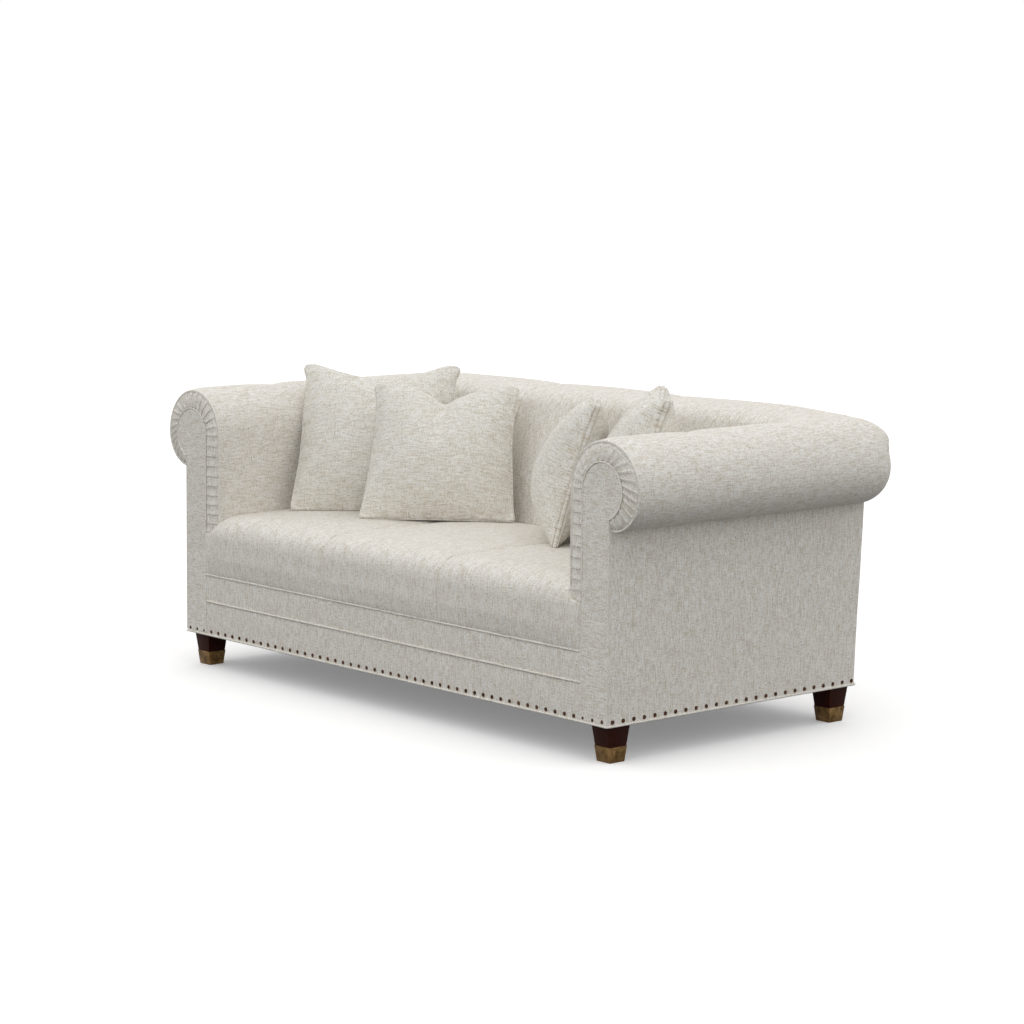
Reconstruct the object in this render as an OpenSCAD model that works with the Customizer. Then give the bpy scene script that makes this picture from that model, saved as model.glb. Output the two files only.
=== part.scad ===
// Apartment sofa with rolled arms, a rolled three-lobe back, a tight seat and four loose pillows.
// The origin is on the floor, in the middle of the width and of the depth; the front faces -Y.

/* [Overall] */
// Width of the upholstered base, over the outside arm panels
base_w = 1820; // [1560:10:2300]
// Depth of the base at its bottom edge
base_d = 875; // [830:5:960]
// Height of the feet, and of the bottom edge of the upholstery
leg_h = 95; // [60:5:150]
// How far the outside back leans back between its bottom edge and the roll
back_rake = 31; // [0:1:45]

/* [Arms] */
// Thickness of an arm between its inside and outside faces
arm_t = 151; // [146:1:170]
// Radius of the arm and back roll
roll_r = 126; // [121:1:132]
// Radius of the under side of the roll
under_r = 95; // [90:1:98]
// Height of the middle of the roll
roll_z = 673; // [650:1:700]
// Radius of the arm front, inside its welt
facing_r = 119; // [112:1:120]
// Distance of the arm front from the inner face of the arm, which its welt takes up
facing_in = 5; // [4:0.5:8]
// How far the middle of the arm front lies below the middle of the roll
facing_drop = 1; // [0:1:6]
// Width of the plain strip of the arm front
strip_w = 100; // [90:1:110]
// Radius of the plain round head of the arm front
head_r = 73; // [60:1:80]
// Distance between the pleats along the outer edge of the arm front
pleat_pitch = 27; // [16:1:40]
// Radius of the lower corner of the pleated band
band_corner = 30; // [10:1:40]
// Angle at which a pleat stands over the next one
pleat_tilt = 9; // [4:1:12]
// How far the pleated band falls back towards its outer edge
band_fall = 9; // [4:1:10]
// Distance of the sewn-in channel of the roll from the arm front
channel_y = 300; // [200:5:420]
// Diameter of the welt round the arm front
welt_d = 6; // [4:0.5:7]

/* [Seat] */
// Height of the seat at its seams
seat_z = 440; // [420:1:470]
// Rise of each seat section between its seams
seat_crown = 12; // [0:1:16]
// Depth of the seat from the base front to the inside back
seat_d = 590; // [540:5:620]
// Height of the top of the front border
border_z = 275; // [262:1:290]
// Height of the lower piping line of the border
piping_z = 195; // [150:1:230]
// Diameter of the border piping
piping_d = 5; // [3:0.5:6]
// Width of the middle seat and back section
middle_w = 506; // [420:2:620]
// Thickness of cover and fibre wrap over the foam
wrap_t = 14; // [10:1:18]

/* [Back] */
// How far the inside back leans back between the seat and its shoulder
inside_rake = 119; // [90:1:130]
// Height of the shoulder of the inside back
shoulder_z = 771; // [755:1:780]
// Rise of the roll of the back above the roll of the arms, at its seams
back_rise = 7; // [0:1:12]
// Rise of each back section between its seams
back_crown = 9; // [0:1:14]
// Distance of the middle of the back roll from the base front
roll_y = 848; // [835:1:860]

/* [Frame] */
// Thickness of the sawn rails
rail_t = 25; // [18:1:32]
// Height of the side and back base rails
rail_h = 134; // [90:1:150]
// Thickness of the plywood stumps and formers
ply_t = 20; // [15:1:24]
// Thickness of the foam on the arms
arm_foam_t = 20; // [12:1:24]
// Thickness of the foam on the inside back
back_foam_t = 59; // [40:1:64]
// Width of a webbing strap of the back
web_w = 45; // [30:1:50]
// Distance between the webbing straps
web_pitch = 62; // [50:1:70]
// Thickness of the board bent round the rolls
board_t = 3; // [2:0.5:4]
// Thickness of the outside panels
panel_t = 4; // [2:0.5:5]
// Thickness of the fabric on the arms
fabric_t = 4; // [2:0.5:4]

/* [Springs] */
// Number of sinuous springs
spring_n = 9; // [5:1:12]
// Width of the bends of a spring
spring_w = 52; // [40:1:70]
// Distance between the bends of a spring
spring_pitch = 36; // [28:1:50]
// Thickness of the spring wire
wire_d = 3.5; // [3:0.1:4]

/* [Trim] */
// Distance between the nailheads
nail_pitch = 35; // [20:1:60]
// Diameter of a nailhead
nail_d = 11; // [8:0.5:13]
// How far a nailhead stands out
nail_h = 3.5; // [2:0.1:5]
// Height of the nailheads above the bottom edge
nail_up = 13; // [11:0.5:20]

/* [Feet] */
// Side of a foot at its top
leg_top = 68; // [55:1:80]
// Side of a foot at the floor
leg_foot = 46; // [35:1:54]
// Height of the ferrule
ferrule_h = 40; // [25:1:50]
// Thickness of the ferrule's wall
ferrule_t = 1.2; // [0.8:0.1:2]
// Distance of a foot from the side of the base
leg_in_x = 11; // [8:1:20]
// Distance of a foot from the front and back of the base
leg_in_y = 18; // [10:1:24]
// Diameter of the hanger bolts
bolt_d = 8; // [6:0.5:10]

/* [Pillows] */
// Width of a pillow between its corners
pillow_w = 450; // [400:5:480]
// Height of the front left pillow between its corners
pillow_h = 396; // [370:2:410]
// Further height of the rear left pillow
rear_left_more = 43; // [0:1:60]
// Further height of the rear right pillow
rear_right_more = 33; // [0:1:60]
// How much lower the front right pillow is
front_right_less = 17; // [0:1:30]
// Thickness of the left pillows in their middle
pillow_t = 168; // [120:2:170]
// Thickness of the right pillows in their middle
plump_t = 190; // [120:2:200]
// Depth of the dent in the top edge of a pillow
pillow_dent = 52; // [0:2:70]

/* [Hidden] */
$fn = 96;

// Finishes
linen = "#d3cfc8";
linen_trim = "#c6c1b9";
foam = "#efe7cf";
timber = "#c9a878";
plywood = "#d2b48c";
board = "#a58a63";
steel = "#8d9196";
bronze = "#4a3a2c";
walnut = "#3a1f18";
brass = "#8a6234";
black_cloth = "#2c2c2e";

// Clearance between a soft solid and what it lies on
clear = 0.3;
// Places across the width
arm_out = base_w/2;
arm_in = arm_out - arm_t;
strip_in = arm_out - strip_w;
roll_x = arm_in + roll_r;
under_x = roll_x + roll_r - under_r;
facing_x = arm_in + facing_in + facing_r;
facing_under_r = facing_x + facing_r - arm_out;
head_x = strip_in + head_r;
seam_x = middle_w/2;
// Places up the height
rail_z = leg_h + 1;
roll_top = roll_z + roll_r;
under_z = roll_z - under_r;
facing_z = roll_z - facing_drop;
tack_z = seat_z - 110;
tuck_z = seat_z - 45;
// Places along the depth, from the base front
board_y = 16;
seat_front_y = -5;
nose_weight = 0.45;
// Rise of the seat's middle over its front and back
deck_rise = 2;
under_y = roll_y + roll_r - under_r;
former_y = roll_y - 48;
spring_rail_y = seat_d + wrap_t + back_foam_t - rail_t;
tuck_y = seat_d + 45;
front_rail_back = board_y + rail_t;
rear_y = base_d - panel_t;
rail_top = rail_z + rail_h;
deck_z = border_z + wire_d;
felt_t = 5;
web_t = 2;
// Middle of the depth between the crown of the seat's nose and that of the back roll
overall_front = seat_front_y - 1 - seat_crown*nose_weight;
overall_rear = roll_y + roll_r + back_crown*smooth(2/3);
middle_y = (overall_front + overall_rear)/2;

// Rear face of the outside back at a height
function rear_face(z) = base_d + back_rake*(z - leg_h)/(under_z - leg_h);
// Front face of the inside back at a height, at the seams
function inside_face(z) = seat_d + inside_rake*(z - seat_z)/(shoulder_z - seat_z);
// Point on a quadratic curve
function curve(a, c, b, t) = (1 - t)*(1 - t)*a + 2*t*(1 - t)*c + t*t*b;
// Swell of a section between two seams, 0 at a seam and 1 in its middle
function swell(t) = 1 - pow(abs(2*t - 1), 3);
function smooth(t) = let (s = min(max(t, 0), 1)) s*s*(3 - 2*s);
// Unit normal of a profile at point k, to the left of its run
function normal(p, k) =
    let (a = p[max(k - 1, 0)], b = p[min(k + 1, len(p) - 1)], d = b - a)
    [-d[1], d[0]]/norm(d);

// Moves what is drawn from the base front to the origin in the middle of the depth
module place() { translate([0, -middle_y, 0]) children(); }
// Extrudes an outline drawn in Y and Z from x0 to x1
module along_x(x0, x1) { translate([x0, 0, 0]) rotate([90, 0, 90]) linear_extrude(x1 - x0) children(); }
// Extrudes an outline drawn in X and Z from y0 to y1
module along_y(y0, y1) { translate([0, y1, 0]) rotate([90, 0, 0]) linear_extrude(y1 - y0) children(); }
module box(low, high) { translate(low) cube(high - low); }
// Draws for the right side, or mirrored for the left side
module side(s) { if (s > 0) children(); else mirror([1, 0, 0]) children(); }
// Cord from a point along +X or +Y, with round ends
module cord(start, turn, length, d) {
    translate(start) rotate(turn) cylinder(d = d, h = length);
    translate(start) sphere(d = d);
    translate(start) rotate(turn) translate([0, 0, length]) sphere(d = d);
}

// Closed sheet between an outer and an inner grid of points, each a list of rows
module sheet(outer, inner) {
    rows = len(outer);
    cols = len(outer[0]);
    count = rows*cols;
    points = concat([for (r = outer, p = r) p], [for (r = inner, p = r) p]);
    faces = concat(
        [for (i = [0:rows - 2], j = [0:cols - 2]) let (a = i*cols + j)
            each [[a, a + 1, a + cols], [a + 1, a + cols + 1, a + cols]]],
        [for (i = [0:rows - 2], j = [0:cols - 2]) let (a = count + i*cols + j)
            each [[a, a + cols, a + 1], [a + 1, a + cols, a + cols + 1]]],
        [for (i = [0:rows - 2]) let (a = i*cols, b = a + count)
            each [[a, a + cols, b], [a + cols, b + cols, b]]],
        [for (i = [0:rows - 2]) let (a = i*cols + cols - 1, b = a + count)
            each [[a, b, a + cols], [a + cols, b, b + cols]]],
        [for (j = [0:cols - 2]) let (a = j, b = a + count)
            each [[a, b, a + 1], [a + 1, b, b + 1]]],
        [for (j = [0:cols - 2]) let (a = (rows - 1)*cols + j, b = a + count)
            each [[a, a + 1, b], [a + 1, b + 1, b]]]);
    polyhedron(points, faces);
}

// Base frame
module front_rail() {
    color(timber) place() box([-arm_in - fabric_t, board_y, rail_z],
        [arm_in + fabric_t, front_rail_back, border_z]);
}
module back_rail() {
    color(timber) place() box([-arm_out + panel_t, rear_y - rail_t, rail_z],
        [arm_out - panel_t, rear_y, rail_top]);
}
module side_rail() {
    color(timber) place() box([arm_out - panel_t - rail_t, board_y + ply_t, rail_z],
        [arm_out - panel_t, rear_y - rail_t, rail_top]);
}
module seat_stretchers() {
    color(timber) place() for (s = [-1, 1])
        translate([s*seam_x - rail_t/2, 0, 0])
            box([0, front_rail_back, rail_z + rail_t], [rail_t, rear_y - rail_t, rail_top]);
}
// Triangular block with the hole of the hanger bolt, for the leg centred at x, y
module corner_block(x, y, front) {
    reach = 75;
    out_x = arm_out - panel_t - rail_t;
    out_y = front ? board_y + ply_t : rear_y - rail_t;
    in_y = front ? out_y + reach*1.4 : out_y - reach*1.4;
    difference() {
        translate([0, 0, rail_z]) linear_extrude(rail_t*1.6)
            polygon([[out_x, out_y], [out_x, in_y], [out_x - reach*0.6, in_y], [out_x - reach*1.4, out_y]]);
        translate([x, y, 0]) cylinder(d = bolt_d, h = rail_z + rail_t*2);
    }
}
leg_x = arm_out - leg_in_x - leg_top/2;
leg_front_y = leg_in_y + leg_top/2;
leg_rear_y = base_d - leg_in_y - leg_top/2;
function leg_y(front) = front ? leg_front_y : leg_rear_y;
module corner_blocks() {
    color(timber) place() for (s = [-1, 1], front = [true, false])
        side(s) corner_block(leg_x, leg_y(front), front);
}
module rear_spring_rail() {
    color(timber) place() box([-arm_in, spring_rail_y, rail_top],
        [arm_in, spring_rail_y + rail_t, border_z]);
}

// Sinuous springs, from the front rail to the rear spring rail
spring_y0 = board_y + rail_t/2;
spring_y1 = spring_rail_y + rail_t/2;
spring_step = 2*(arm_in - 60)/(spring_n - 1);
spring_bends = round((spring_y1 - spring_y0)/spring_pitch);
bend_pitch = (spring_y1 - spring_y0)/spring_bends;
module spring_outline() {
    bend_r = bend_pitch/2;
    half = spring_w/2 - bend_r;
    for (k = [0:spring_bends]) translate([-half, spring_y0 + k*bend_pitch - wire_d/2])
        square([2*half, wire_d]);
    for (k = [0:spring_bends - 1]) {
        s = k % 2 == 0 ? 1 : -1;
        translate([s*half, spring_y0 + (k + 0.5)*bend_pitch]) difference() {
            circle(r = bend_r + wire_d/2);
            circle(r = bend_r - wire_d/2);
            translate([s > 0 ? -2*bend_r : 0, -2*bend_r]) square([2*bend_r, 4*bend_r]);
        }
    }
}
module seat_springs() {
    color(steel) place() for (k = [0:spring_n - 1])
        translate([-arm_in + 60 + k*spring_step, 0, border_z]) linear_extrude(wire_d) spring_outline();
}
clip_w = 16;
module spring_clips() {
    color(steel) place() for (k = [0:spring_n - 1], y = [spring_y0, spring_y1])
        translate([-arm_in + 60 + k*spring_step, y, border_z]) along_x(-clip_w/2, clip_w/2)
            difference() {
                translate([-wire_d*1.5, 0]) square([wire_d*3, wire_d + 1.2]);
                translate([-wire_d/2, 0]) square([wire_d, wire_d]);
            }
}
module spring_insulator() {
    color("#8c8577") place() box([-arm_in + 8, front_rail_back + 12, deck_z],
        [arm_in - 8, spring_rail_y - 8, deck_z + felt_t]);
}

// Seat profile from the border up over the nose and back to the tuck; t is the depth below the face
function seat_profile(t) =
    let (a = [seat_front_y + t, seat_z - 68], c = [seat_front_y + 3 + t, seat_z - 6 - t],
        b = [62, seat_z - 2 - t])
    concat([[seat_front_y + t, border_z], [seat_front_y - 1 + t, (border_z + seat_z - 68)/2]],
        [for (k = [0:0.25:1]) curve(a, c, b, k)],
        [[seat_d*0.28, seat_z + deck_rise/2 - t], [seat_d*0.5, seat_z + deck_rise - t],
            [seat_d*0.78, seat_z + deck_rise - t], [seat_d, seat_z - t], [tuck_y, seat_z - t]]);
seat_line = seat_profile(0);
seat_foam_line = seat_profile(wrap_t + 3);
seat_weight = [0, nose_weight, 0.5, 0.6, 0.75, 0.9, 1, 1, 1, 0.8, 0, 0];
// Point k of the seat surface at x in the section from x0 to x1
function seat_point(x, x0, x1, k) =
    let (d = seat_crown*seat_weight[k]*swell((x - x0)/(x1 - x0)), n = normal(seat_line, k))
    [x, seat_line[k][0] + n[0]*d, seat_line[k][1] + n[1]*d];
module seat_section(x0, x1) {
    steps = 10;
    sheet([for (i = [0:steps]) let (x = x0 + (x1 - x0)*i/steps)
            [for (k = [0:len(seat_line) - 1]) seat_point(x, x0, x1, k)]],
        [for (i = [0:steps]) let (x = x0 + (x1 - x0)*i/steps)
            [for (p = seat_foam_line) [x, p[0], p[1]]]]);
}
// Piece of the seat nose that wraps in front of the arm, below the pleated band
module nose_end() {
    nose_r = 24;
    along_x(arm_in, strip_in) intersection() {
        translate([seat_front_y, border_z]) square([board_y - seat_front_y, tuck_z - border_z]);
        union() {
            translate([seat_front_y, 0]) square([100, tuck_z - nose_r]);
            translate([seat_front_y + nose_r, tuck_z - nose_r]) circle(r = nose_r);
        }
    }
}
module seat_foam() {
    color(foam) place() along_x(-arm_in, arm_in)
        polygon(concat([for (k = [1:len(seat_foam_line) - 1]) seat_foam_line[k]],
            [[tuck_y, deck_z + felt_t], [seat_foam_line[0][0], deck_z + felt_t]]));
}
module seat_cover_left() {
    color(linen) place() { seat_section(-arm_in, -seam_x); side(-1) nose_end(); }
}
module seat_cover_centre() { color(linen) place() seat_section(-seam_x, seam_x); }
module seat_cover_right() {
    color(linen) place() { seat_section(seam_x, arm_in); nose_end(); }
}

// Section of an arm in X and Z, i inside its outer face, down to height z0
module arm_section(i, z0) {
    intersection() {
        translate([roll_x, roll_z]) circle(r = roll_r - i);
        translate([0, roll_z]) square([arm_out*2, roll_r*2]);
    }
    translate([arm_in + i, z0]) square([arm_t - 2*i, roll_z - z0]);
    intersection() {
        translate([under_x, roll_z]) circle(r = under_r - i);
        translate([arm_out - i, under_z]) square([roll_r*2, under_r]);
    }
    translate([arm_out - i, under_z + i]) square([under_x - arm_out + i, under_r - i]);
}
// Half section of the rounded rear corner, turned about the crossing of the roll axes
module corner_section(i) {
    intersection() {
        translate([0, roll_z]) circle(r = roll_r - i);
        translate([0, roll_z]) square(roll_r*2);
    }
    intersection() {
        translate([under_x - roll_x, roll_z]) circle(r = under_r - i);
        translate([under_x - roll_x, under_z]) square([roll_r*2, under_r]);
    }
    translate([0, under_z + i]) square([under_x - roll_x, under_r - i]);
}
module roll_corner(i, j) {
    translate([roll_x, roll_y, 0]) rotate_extrude(angle = 90) difference() {
        corner_section(i);
        if (j > 0) corner_section(j);
    }
}
// Everything of an arm outside the web of its outside panel
module arm_shell(i, j, y0, y1) {
    along_y(y0, y1) difference() {
        arm_section(i, tack_z);
        arm_section(j, tack_z - 1);
        translate([arm_in + arm_t/2, 0]) square([arm_t, under_z + i]);
    }
}
// Front board of an arm, as large as the arm front and so a little smaller than the roll behind it
module arm_stump() {
    color(plywood) place() along_y(board_y, board_y + ply_t) intersection() {
        arm_section(fabric_t, rail_z);
        facing_outline(facing_r - fabric_t, rail_z);
    }
}
module arm_former() {
    inset = fabric_t + arm_foam_t + board_t;
    color(plywood) place() difference() {
        along_y(former_y, former_y + ply_t) arm_section(inset, rail_top);
        arm_rail_solid(0);
    }
}
module arm_rail_solid(over) {
    box([roll_x - 30, board_y + ply_t, roll_z - 25], [roll_x + 30, former_y + over, roll_z + 25]);
}
module arm_rail() { color(timber) place() arm_rail_solid(0); }
module arm_board() {
    inset = fabric_t + arm_foam_t;
    color(board) place() arm_shell(inset, inset + board_t, board_y + ply_t, former_y + ply_t);
}
module arm_foam() {
    color(foam) place() {
        arm_shell(fabric_t, fabric_t + arm_foam_t, board_y + ply_t, roll_y);
        roll_corner(fabric_t, fabric_t + arm_foam_t);
    }
}
channel_w = 8;
channel_depth = 2.5;
module arm_cover() {
    lip_y = board_y - fabric_t;
    color(linen) place() difference() {
        union() {
            arm_shell(0, fabric_t, board_y, roll_y);
            roll_corner(0, fabric_t);
            along_y(lip_y, board_y) difference() {
                arm_section(0, tuck_z);
                translate([arm_in + arm_t/2, 0]) square([arm_t, facing_z - facing_under_r]);
            }
        }
        along_y(lip_y - 1, board_y) facing_outline(facing_r + clear, tack_z - 1);
        along_y(channel_y - channel_w/2, channel_y + channel_w/2) difference() {
            arm_section(-1, tack_z + arm_t);
            arm_section(channel_depth, tack_z);
        }
    }
}

// Front of an arm: a keyhole outline of radius r round the head, down to height z0
module facing_outline(r, z0) {
    under = r - (arm_out - facing_x);
    intersection() {
        translate([facing_x, facing_z]) circle(r = r);
        translate([0, facing_z]) square([arm_out*2, r*2]);
    }
    translate([facing_x - r, z0]) square([arm_out - facing_x + r, facing_z - z0]);
    intersection() {
        translate([arm_out, facing_z]) circle(r = under);
        translate([arm_out, facing_z - under]) square([under*2, under]);
    }
}
// Plain middle panel of the arm front
module panel_outline() {
    translate([head_x, facing_z + 2]) circle(r = head_r);
    translate([strip_in, leg_h]) square([strip_w, facing_z + 2 - leg_h]);
}
module arm_facing() {
    color(linen) place() along_y(0, board_y) panel_outline();
}
// Pleated band between the plain panel and the welt: thick leaves laid like shingles
module pleat_leaf(length) {
    mid = (head_r + facing_r)/2 + 2;
    leaf_w = facing_r - head_r + 40;
    translate([-mid, 0, 0]) rotate([pleat_tilt, 0, -atan(band_fall/(arm_t - strip_w))])
        translate([-leaf_w/2, -1.5, -length/2]) cube([leaf_w, 30, length]);
}
module pleats() {
    straight = facing_z - tuck_z;
    n_straight = round(straight/pleat_pitch);
    step = straight/n_straight;
    for (k = [0:n_straight - 1])
        translate([facing_x, band_fall/2, facing_z - (k + 0.5)*step]) pleat_leaf(step*1.5);
    sweep = 180 + 75;
    n_round = round(facing_r*sweep*PI/180/pleat_pitch);
    for (k = [0:n_round - 1])
        translate([facing_x, band_fall/2, facing_z]) rotate([0, (k + 0.5)*sweep/n_round, 0])
            pleat_leaf(facing_r*sweep*PI/180/n_round*1.5);
}
module band_outline() {
    difference() {
        facing_outline(facing_r, tuck_z);
        translate([facing_x - facing_r, tuck_z]) difference() {
            translate([-1, -1]) square(band_corner + 1);
            translate([band_corner, band_corner]) circle(r = band_corner);
        }
    }
}
module pleated_band() {
    color(linen) place() difference() {
        intersection() {
            along_y(-band_fall, board_y) band_outline();
            union() {
                pleats();
                along_y(band_fall, board_y) band_outline();
            }
        }
        along_y(-2*band_fall, board_y + 1) panel_outline();
    }
}
// Welt from the seat up the inner edge of the arm front, over the head and under the roll
module arm_welt() {
    r = facing_r + clear + welt_d/2;
    under = r - (arm_out - facing_x);
    foot = tuck_z + band_corner;
    color(linen_trim) place() translate([0, board_y - fabric_t - welt_d/2, 0]) {
        translate([facing_x, 0, facing_z]) rotate([90, 0, 0]) rotate_extrude(angle = 180)
            translate([r, 0]) circle(d = welt_d, $fn = 24);
        translate([arm_out, 0, facing_z]) rotate([90, 0, 0]) rotate([0, 0, -85]) rotate_extrude(angle = 85)
            translate([under, 0]) circle(d = welt_d, $fn = 24);
        translate([facing_x - r, 0, foot]) cylinder(d = welt_d, h = facing_z - foot, $fn = 24);
    }
}
module outside_arm() {
    top = under_z + 22;
    color(linen) place() difference() {
        along_x(arm_out - panel_t, arm_out)
            polygon([[board_y, leg_h], [rear_face(leg_h) - panel_t, leg_h],
                [rear_face(top) - panel_t, top], [board_y, top]]);
        along_y(0, roll_y) arm_section(0, top - 1);
        along_y(0, roll_y) translate([arm_out - 2*panel_t, under_z]) square([roll_r, under_r]);
        roll_corner(0, 0);
    }
}

// Back profile from the seat up over the shoulder and the roll to its under side
function back_profile(i, rise) =
    let (foot = [seat_d + i, seat_z], shoulder = [seat_d + inside_rake + i, shoulder_z - i*0.3],
        top = [roll_y, roll_top + rise - i],
        knee = [seat_d + inside_rake + i + 13*(1 + i/40), roll_top + rise - i - 2])
    concat([for (t = [0:0.2:1]) foot + (shoulder - foot)*t],
        [for (t = [0.2:0.2:1]) curve(shoulder, knee, top, t)],
        [for (a = [75:-15:0]) [roll_y + (roll_r - i)*cos(a), roll_z + (roll_r - i + rise)*sin(a)]],
        [for (a = [-20:-18:-74]) [under_y + (under_r - i)*cos(a), roll_z + (under_r - i)*sin(a)]]);
function back_weight(k, n) = k == 0 ? 0 : smooth(k/3)*smooth((n - 1 - k)/6);
// Point k of the back surface at x, with its seams at x0 and x1
function back_point(x, x0, x1, k) =
    let (rise = back_rise*(1 - smooth((abs(x) - arm_in + 140)/(roll_x - arm_in + 100))),
        line = back_profile(0, rise), n = normal(line, k),
        d = back_crown*back_weight(k, len(line))*swell((x - x0)/(x1 - x0)))
    [x, line[k][0] + n[0]*d, line[k][1] + n[1]*d];
back_foam_line = back_profile(wrap_t, 0);
module back_section(x0, x1) {
    steps = 12;
    sheet([for (i = [0:steps]) let (x = x0 + (x1 - x0)*i/steps)
            [for (k = [0:len(back_foam_line) - 1]) back_point(x, x0, x1, k)]],
        [for (i = [0:steps]) let (x = x0 + (x1 - x0)*i/steps)
            [for (p = back_foam_line) [x, p[0], p[1]]]]);
}
// Outer section of the back, cut to the arm roll that it meets
module back_end() {
    difference() {
        back_section(seam_x, roll_x - clear);
        along_y(0, roll_y) arm_section(0, seat_z - 1);
    }
}
module back_cover_left() { color(linen) place() side(-1) back_end(); }
module back_cover_centre() { color(linen) place() back_section(-seam_x, seam_x); }
module back_cover_right() { color(linen) place() back_end(); }
// Outline of a back former, i outside its own edge
module former_outline(i) {
    line_off = wrap_t + back_foam_t;
    r = roll_r - wrap_t - arm_foam_t - board_t + i;
    under = r - (roll_r - under_r);
    bottom = rail_top - (i > 0 ? 10 : 0);
    polygon([[inside_face(seat_z) + line_off - i, bottom], [inside_face(seat_z) + line_off - i, seat_z],
        [inside_face(roll_z + 20) + line_off - i, roll_z + 20], [roll_y, roll_z + 20],
        [rear_face(under_z) - panel_t - clear, under_z + 11], [rear_face(under_z) - panel_t - clear, under_z],
        [rear_face(bottom) - panel_t - clear, bottom]]);
    intersection() {
        translate([roll_y, roll_z]) circle(r = r);
        translate([0, roll_z]) square([roll_y*2, roll_r*2]);
    }
    intersection() {
        translate([under_y, roll_z]) circle(r = under);
        translate([roll_y, roll_z - under]) square([roll_r*2, under]);
    }
}
module back_formers() {
    color(plywood) place() difference() {
        for (x = [-arm_in, -seam_x - ply_t/2, seam_x - ply_t/2, arm_in - ply_t])
            along_x(x, x + ply_t) former_outline(0);
        back_top_rail_solid();
    }
}
module back_top_rail_solid() {
    box([-arm_in, roll_y - 25, roll_z - 30], [arm_in, roll_y + 25, roll_z + 30]);
}
module back_top_rail() { color(timber) place() back_top_rail_solid(); }
module back_board() {
    color(board) place() along_x(-arm_in, arm_in) difference() {
        intersection() {
            former_outline(board_t);
            translate([roll_y, roll_z - roll_r]) square(roll_r*3);
        }
        former_outline(0);
        translate([0, 0]) square([rear_face(under_z), under_z + 22]);
    }
}
module back_webbing() {
    color(black_cloth) place() for (k = [0:3]) {
        z0 = seat_z + 12 + k*web_pitch;
        off = wrap_t + back_foam_t;
        along_x(-arm_in, arm_in) polygon([[inside_face(z0) + off - web_t, z0],
            [inside_face(z0 + web_w) + off - web_t, z0 + web_w], [inside_face(z0 + web_w) + off, z0 + web_w],
            [inside_face(z0) + off, z0]]);
    }
}
module back_foam_outline() {
    difference() {
        polygon(concat(back_foam_line, [[roll_y, under_z + 40], [seat_d + wrap_t + back_foam_t, seat_z]]));
        former_outline(board_t);
        translate([roll_y, 0]) square([roll_r*2, under_z + 30]);
    }
}
module back_foam() {
    color(foam) place() {
        along_x(-arm_in, arm_in) back_foam_outline();
        for (s = [-1, 1]) side(s) along_x(arm_in, roll_x) intersection() {
            back_foam_outline();
            translate([roll_y, roll_z]) square(roll_r*2);
        }
    }
}
module outside_back() {
    top = under_z + 22;
    color(linen) place() difference() {
        along_x(-arm_out, arm_out) polygon([[rear_face(leg_h), leg_h], [rear_face(top), top],
            [rear_face(top) - panel_t, top], [rear_face(leg_h) - panel_t, leg_h]]);
        along_x(-roll_x, roll_x) translate([under_y, roll_z]) circle(r = under_r);
        for (s = [-1, 1]) side(s) roll_corner(0, 0);
    }
}

// Border, piping, welt and nails
module front_border() {
    color(linen) place() box([-strip_in, 0, leg_h], [strip_in, board_y, border_z]);
}
module front_piping() {
    y = -piping_d/2;
    color(linen_trim) place() for (z = [piping_z, border_z - piping_d/2 - 0.2])
        translate([-strip_in, y, z]) rotate([0, 90, 0]) cylinder(d = piping_d, h = 2*strip_in, $fn = 24);
}
module base_welt() {
    x = arm_out + piping_d/2;
    z = leg_h + piping_d/2;
    front = -piping_d/2;
    rear = rear_face(z) + piping_d/2;
    color(linen_trim) place() {
        for (y = [front, rear]) cord([-x, y, z], [0, 90, 0], 2*x, piping_d, $fn = 24);
        for (s = [-1, 1]) cord([s*x, front, z], [-90, 0, 0], rear - front, piping_d, $fn = 24);
    }
}
// Domed nailhead standing on the plane z = 0
module nail() {
    dome_r = (nail_d*nail_d/4 + nail_h*nail_h)/(2*nail_h);
    rotate_extrude() intersection() {
        translate([0, nail_h - dome_r]) circle(r = dome_r);
        square([nail_d/2, nail_h]);
    }
}
module nailheads() {
    z = leg_h + nail_up;
    end = nail_d/2 + 12;
    n_front = round(2*(arm_out - end)/nail_pitch);
    n_side = round((base_d - 2*end)/nail_pitch);
    color(bronze) place() {
        for (k = [0:n_front]) translate([-arm_out + end + 2*(arm_out - end)*k/n_front, 0, z])
            rotate([90, 0, 0]) nail();
        for (s = [-1, 1], k = [0:n_side])
            translate([s*arm_out, end + (base_d - 2*end)*k/n_side, z]) rotate([0, s*90, 0]) nail();
    }
}
module dust_cover() {
    color(black_cloth) place() difference() {
        box([-arm_out + panel_t + 2, board_y + 2, leg_h], [arm_out - panel_t - 2, rear_y - 2, rail_z]);
        for (s = [-1, 1], front = [true, false])
            side(s) translate([leg_x, leg_y(front), 0]) cylinder(d = bolt_d, h = rail_z*2);
    }
}

// Feet
bolt_low = leg_h - 32;
bolt_high = rail_z + rail_t*1.6 + 6;
module leg_bolts() {
    color(steel) place() for (s = [-1, 1], front = [true, false])
        side(s) translate([leg_x, leg_y(front), bolt_low]) cylinder(d = bolt_d, h = bolt_high - bolt_low);
}
// Side of a foot at a height
function leg_side(z) = leg_foot + (leg_top - leg_foot)*z/leg_h;
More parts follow.
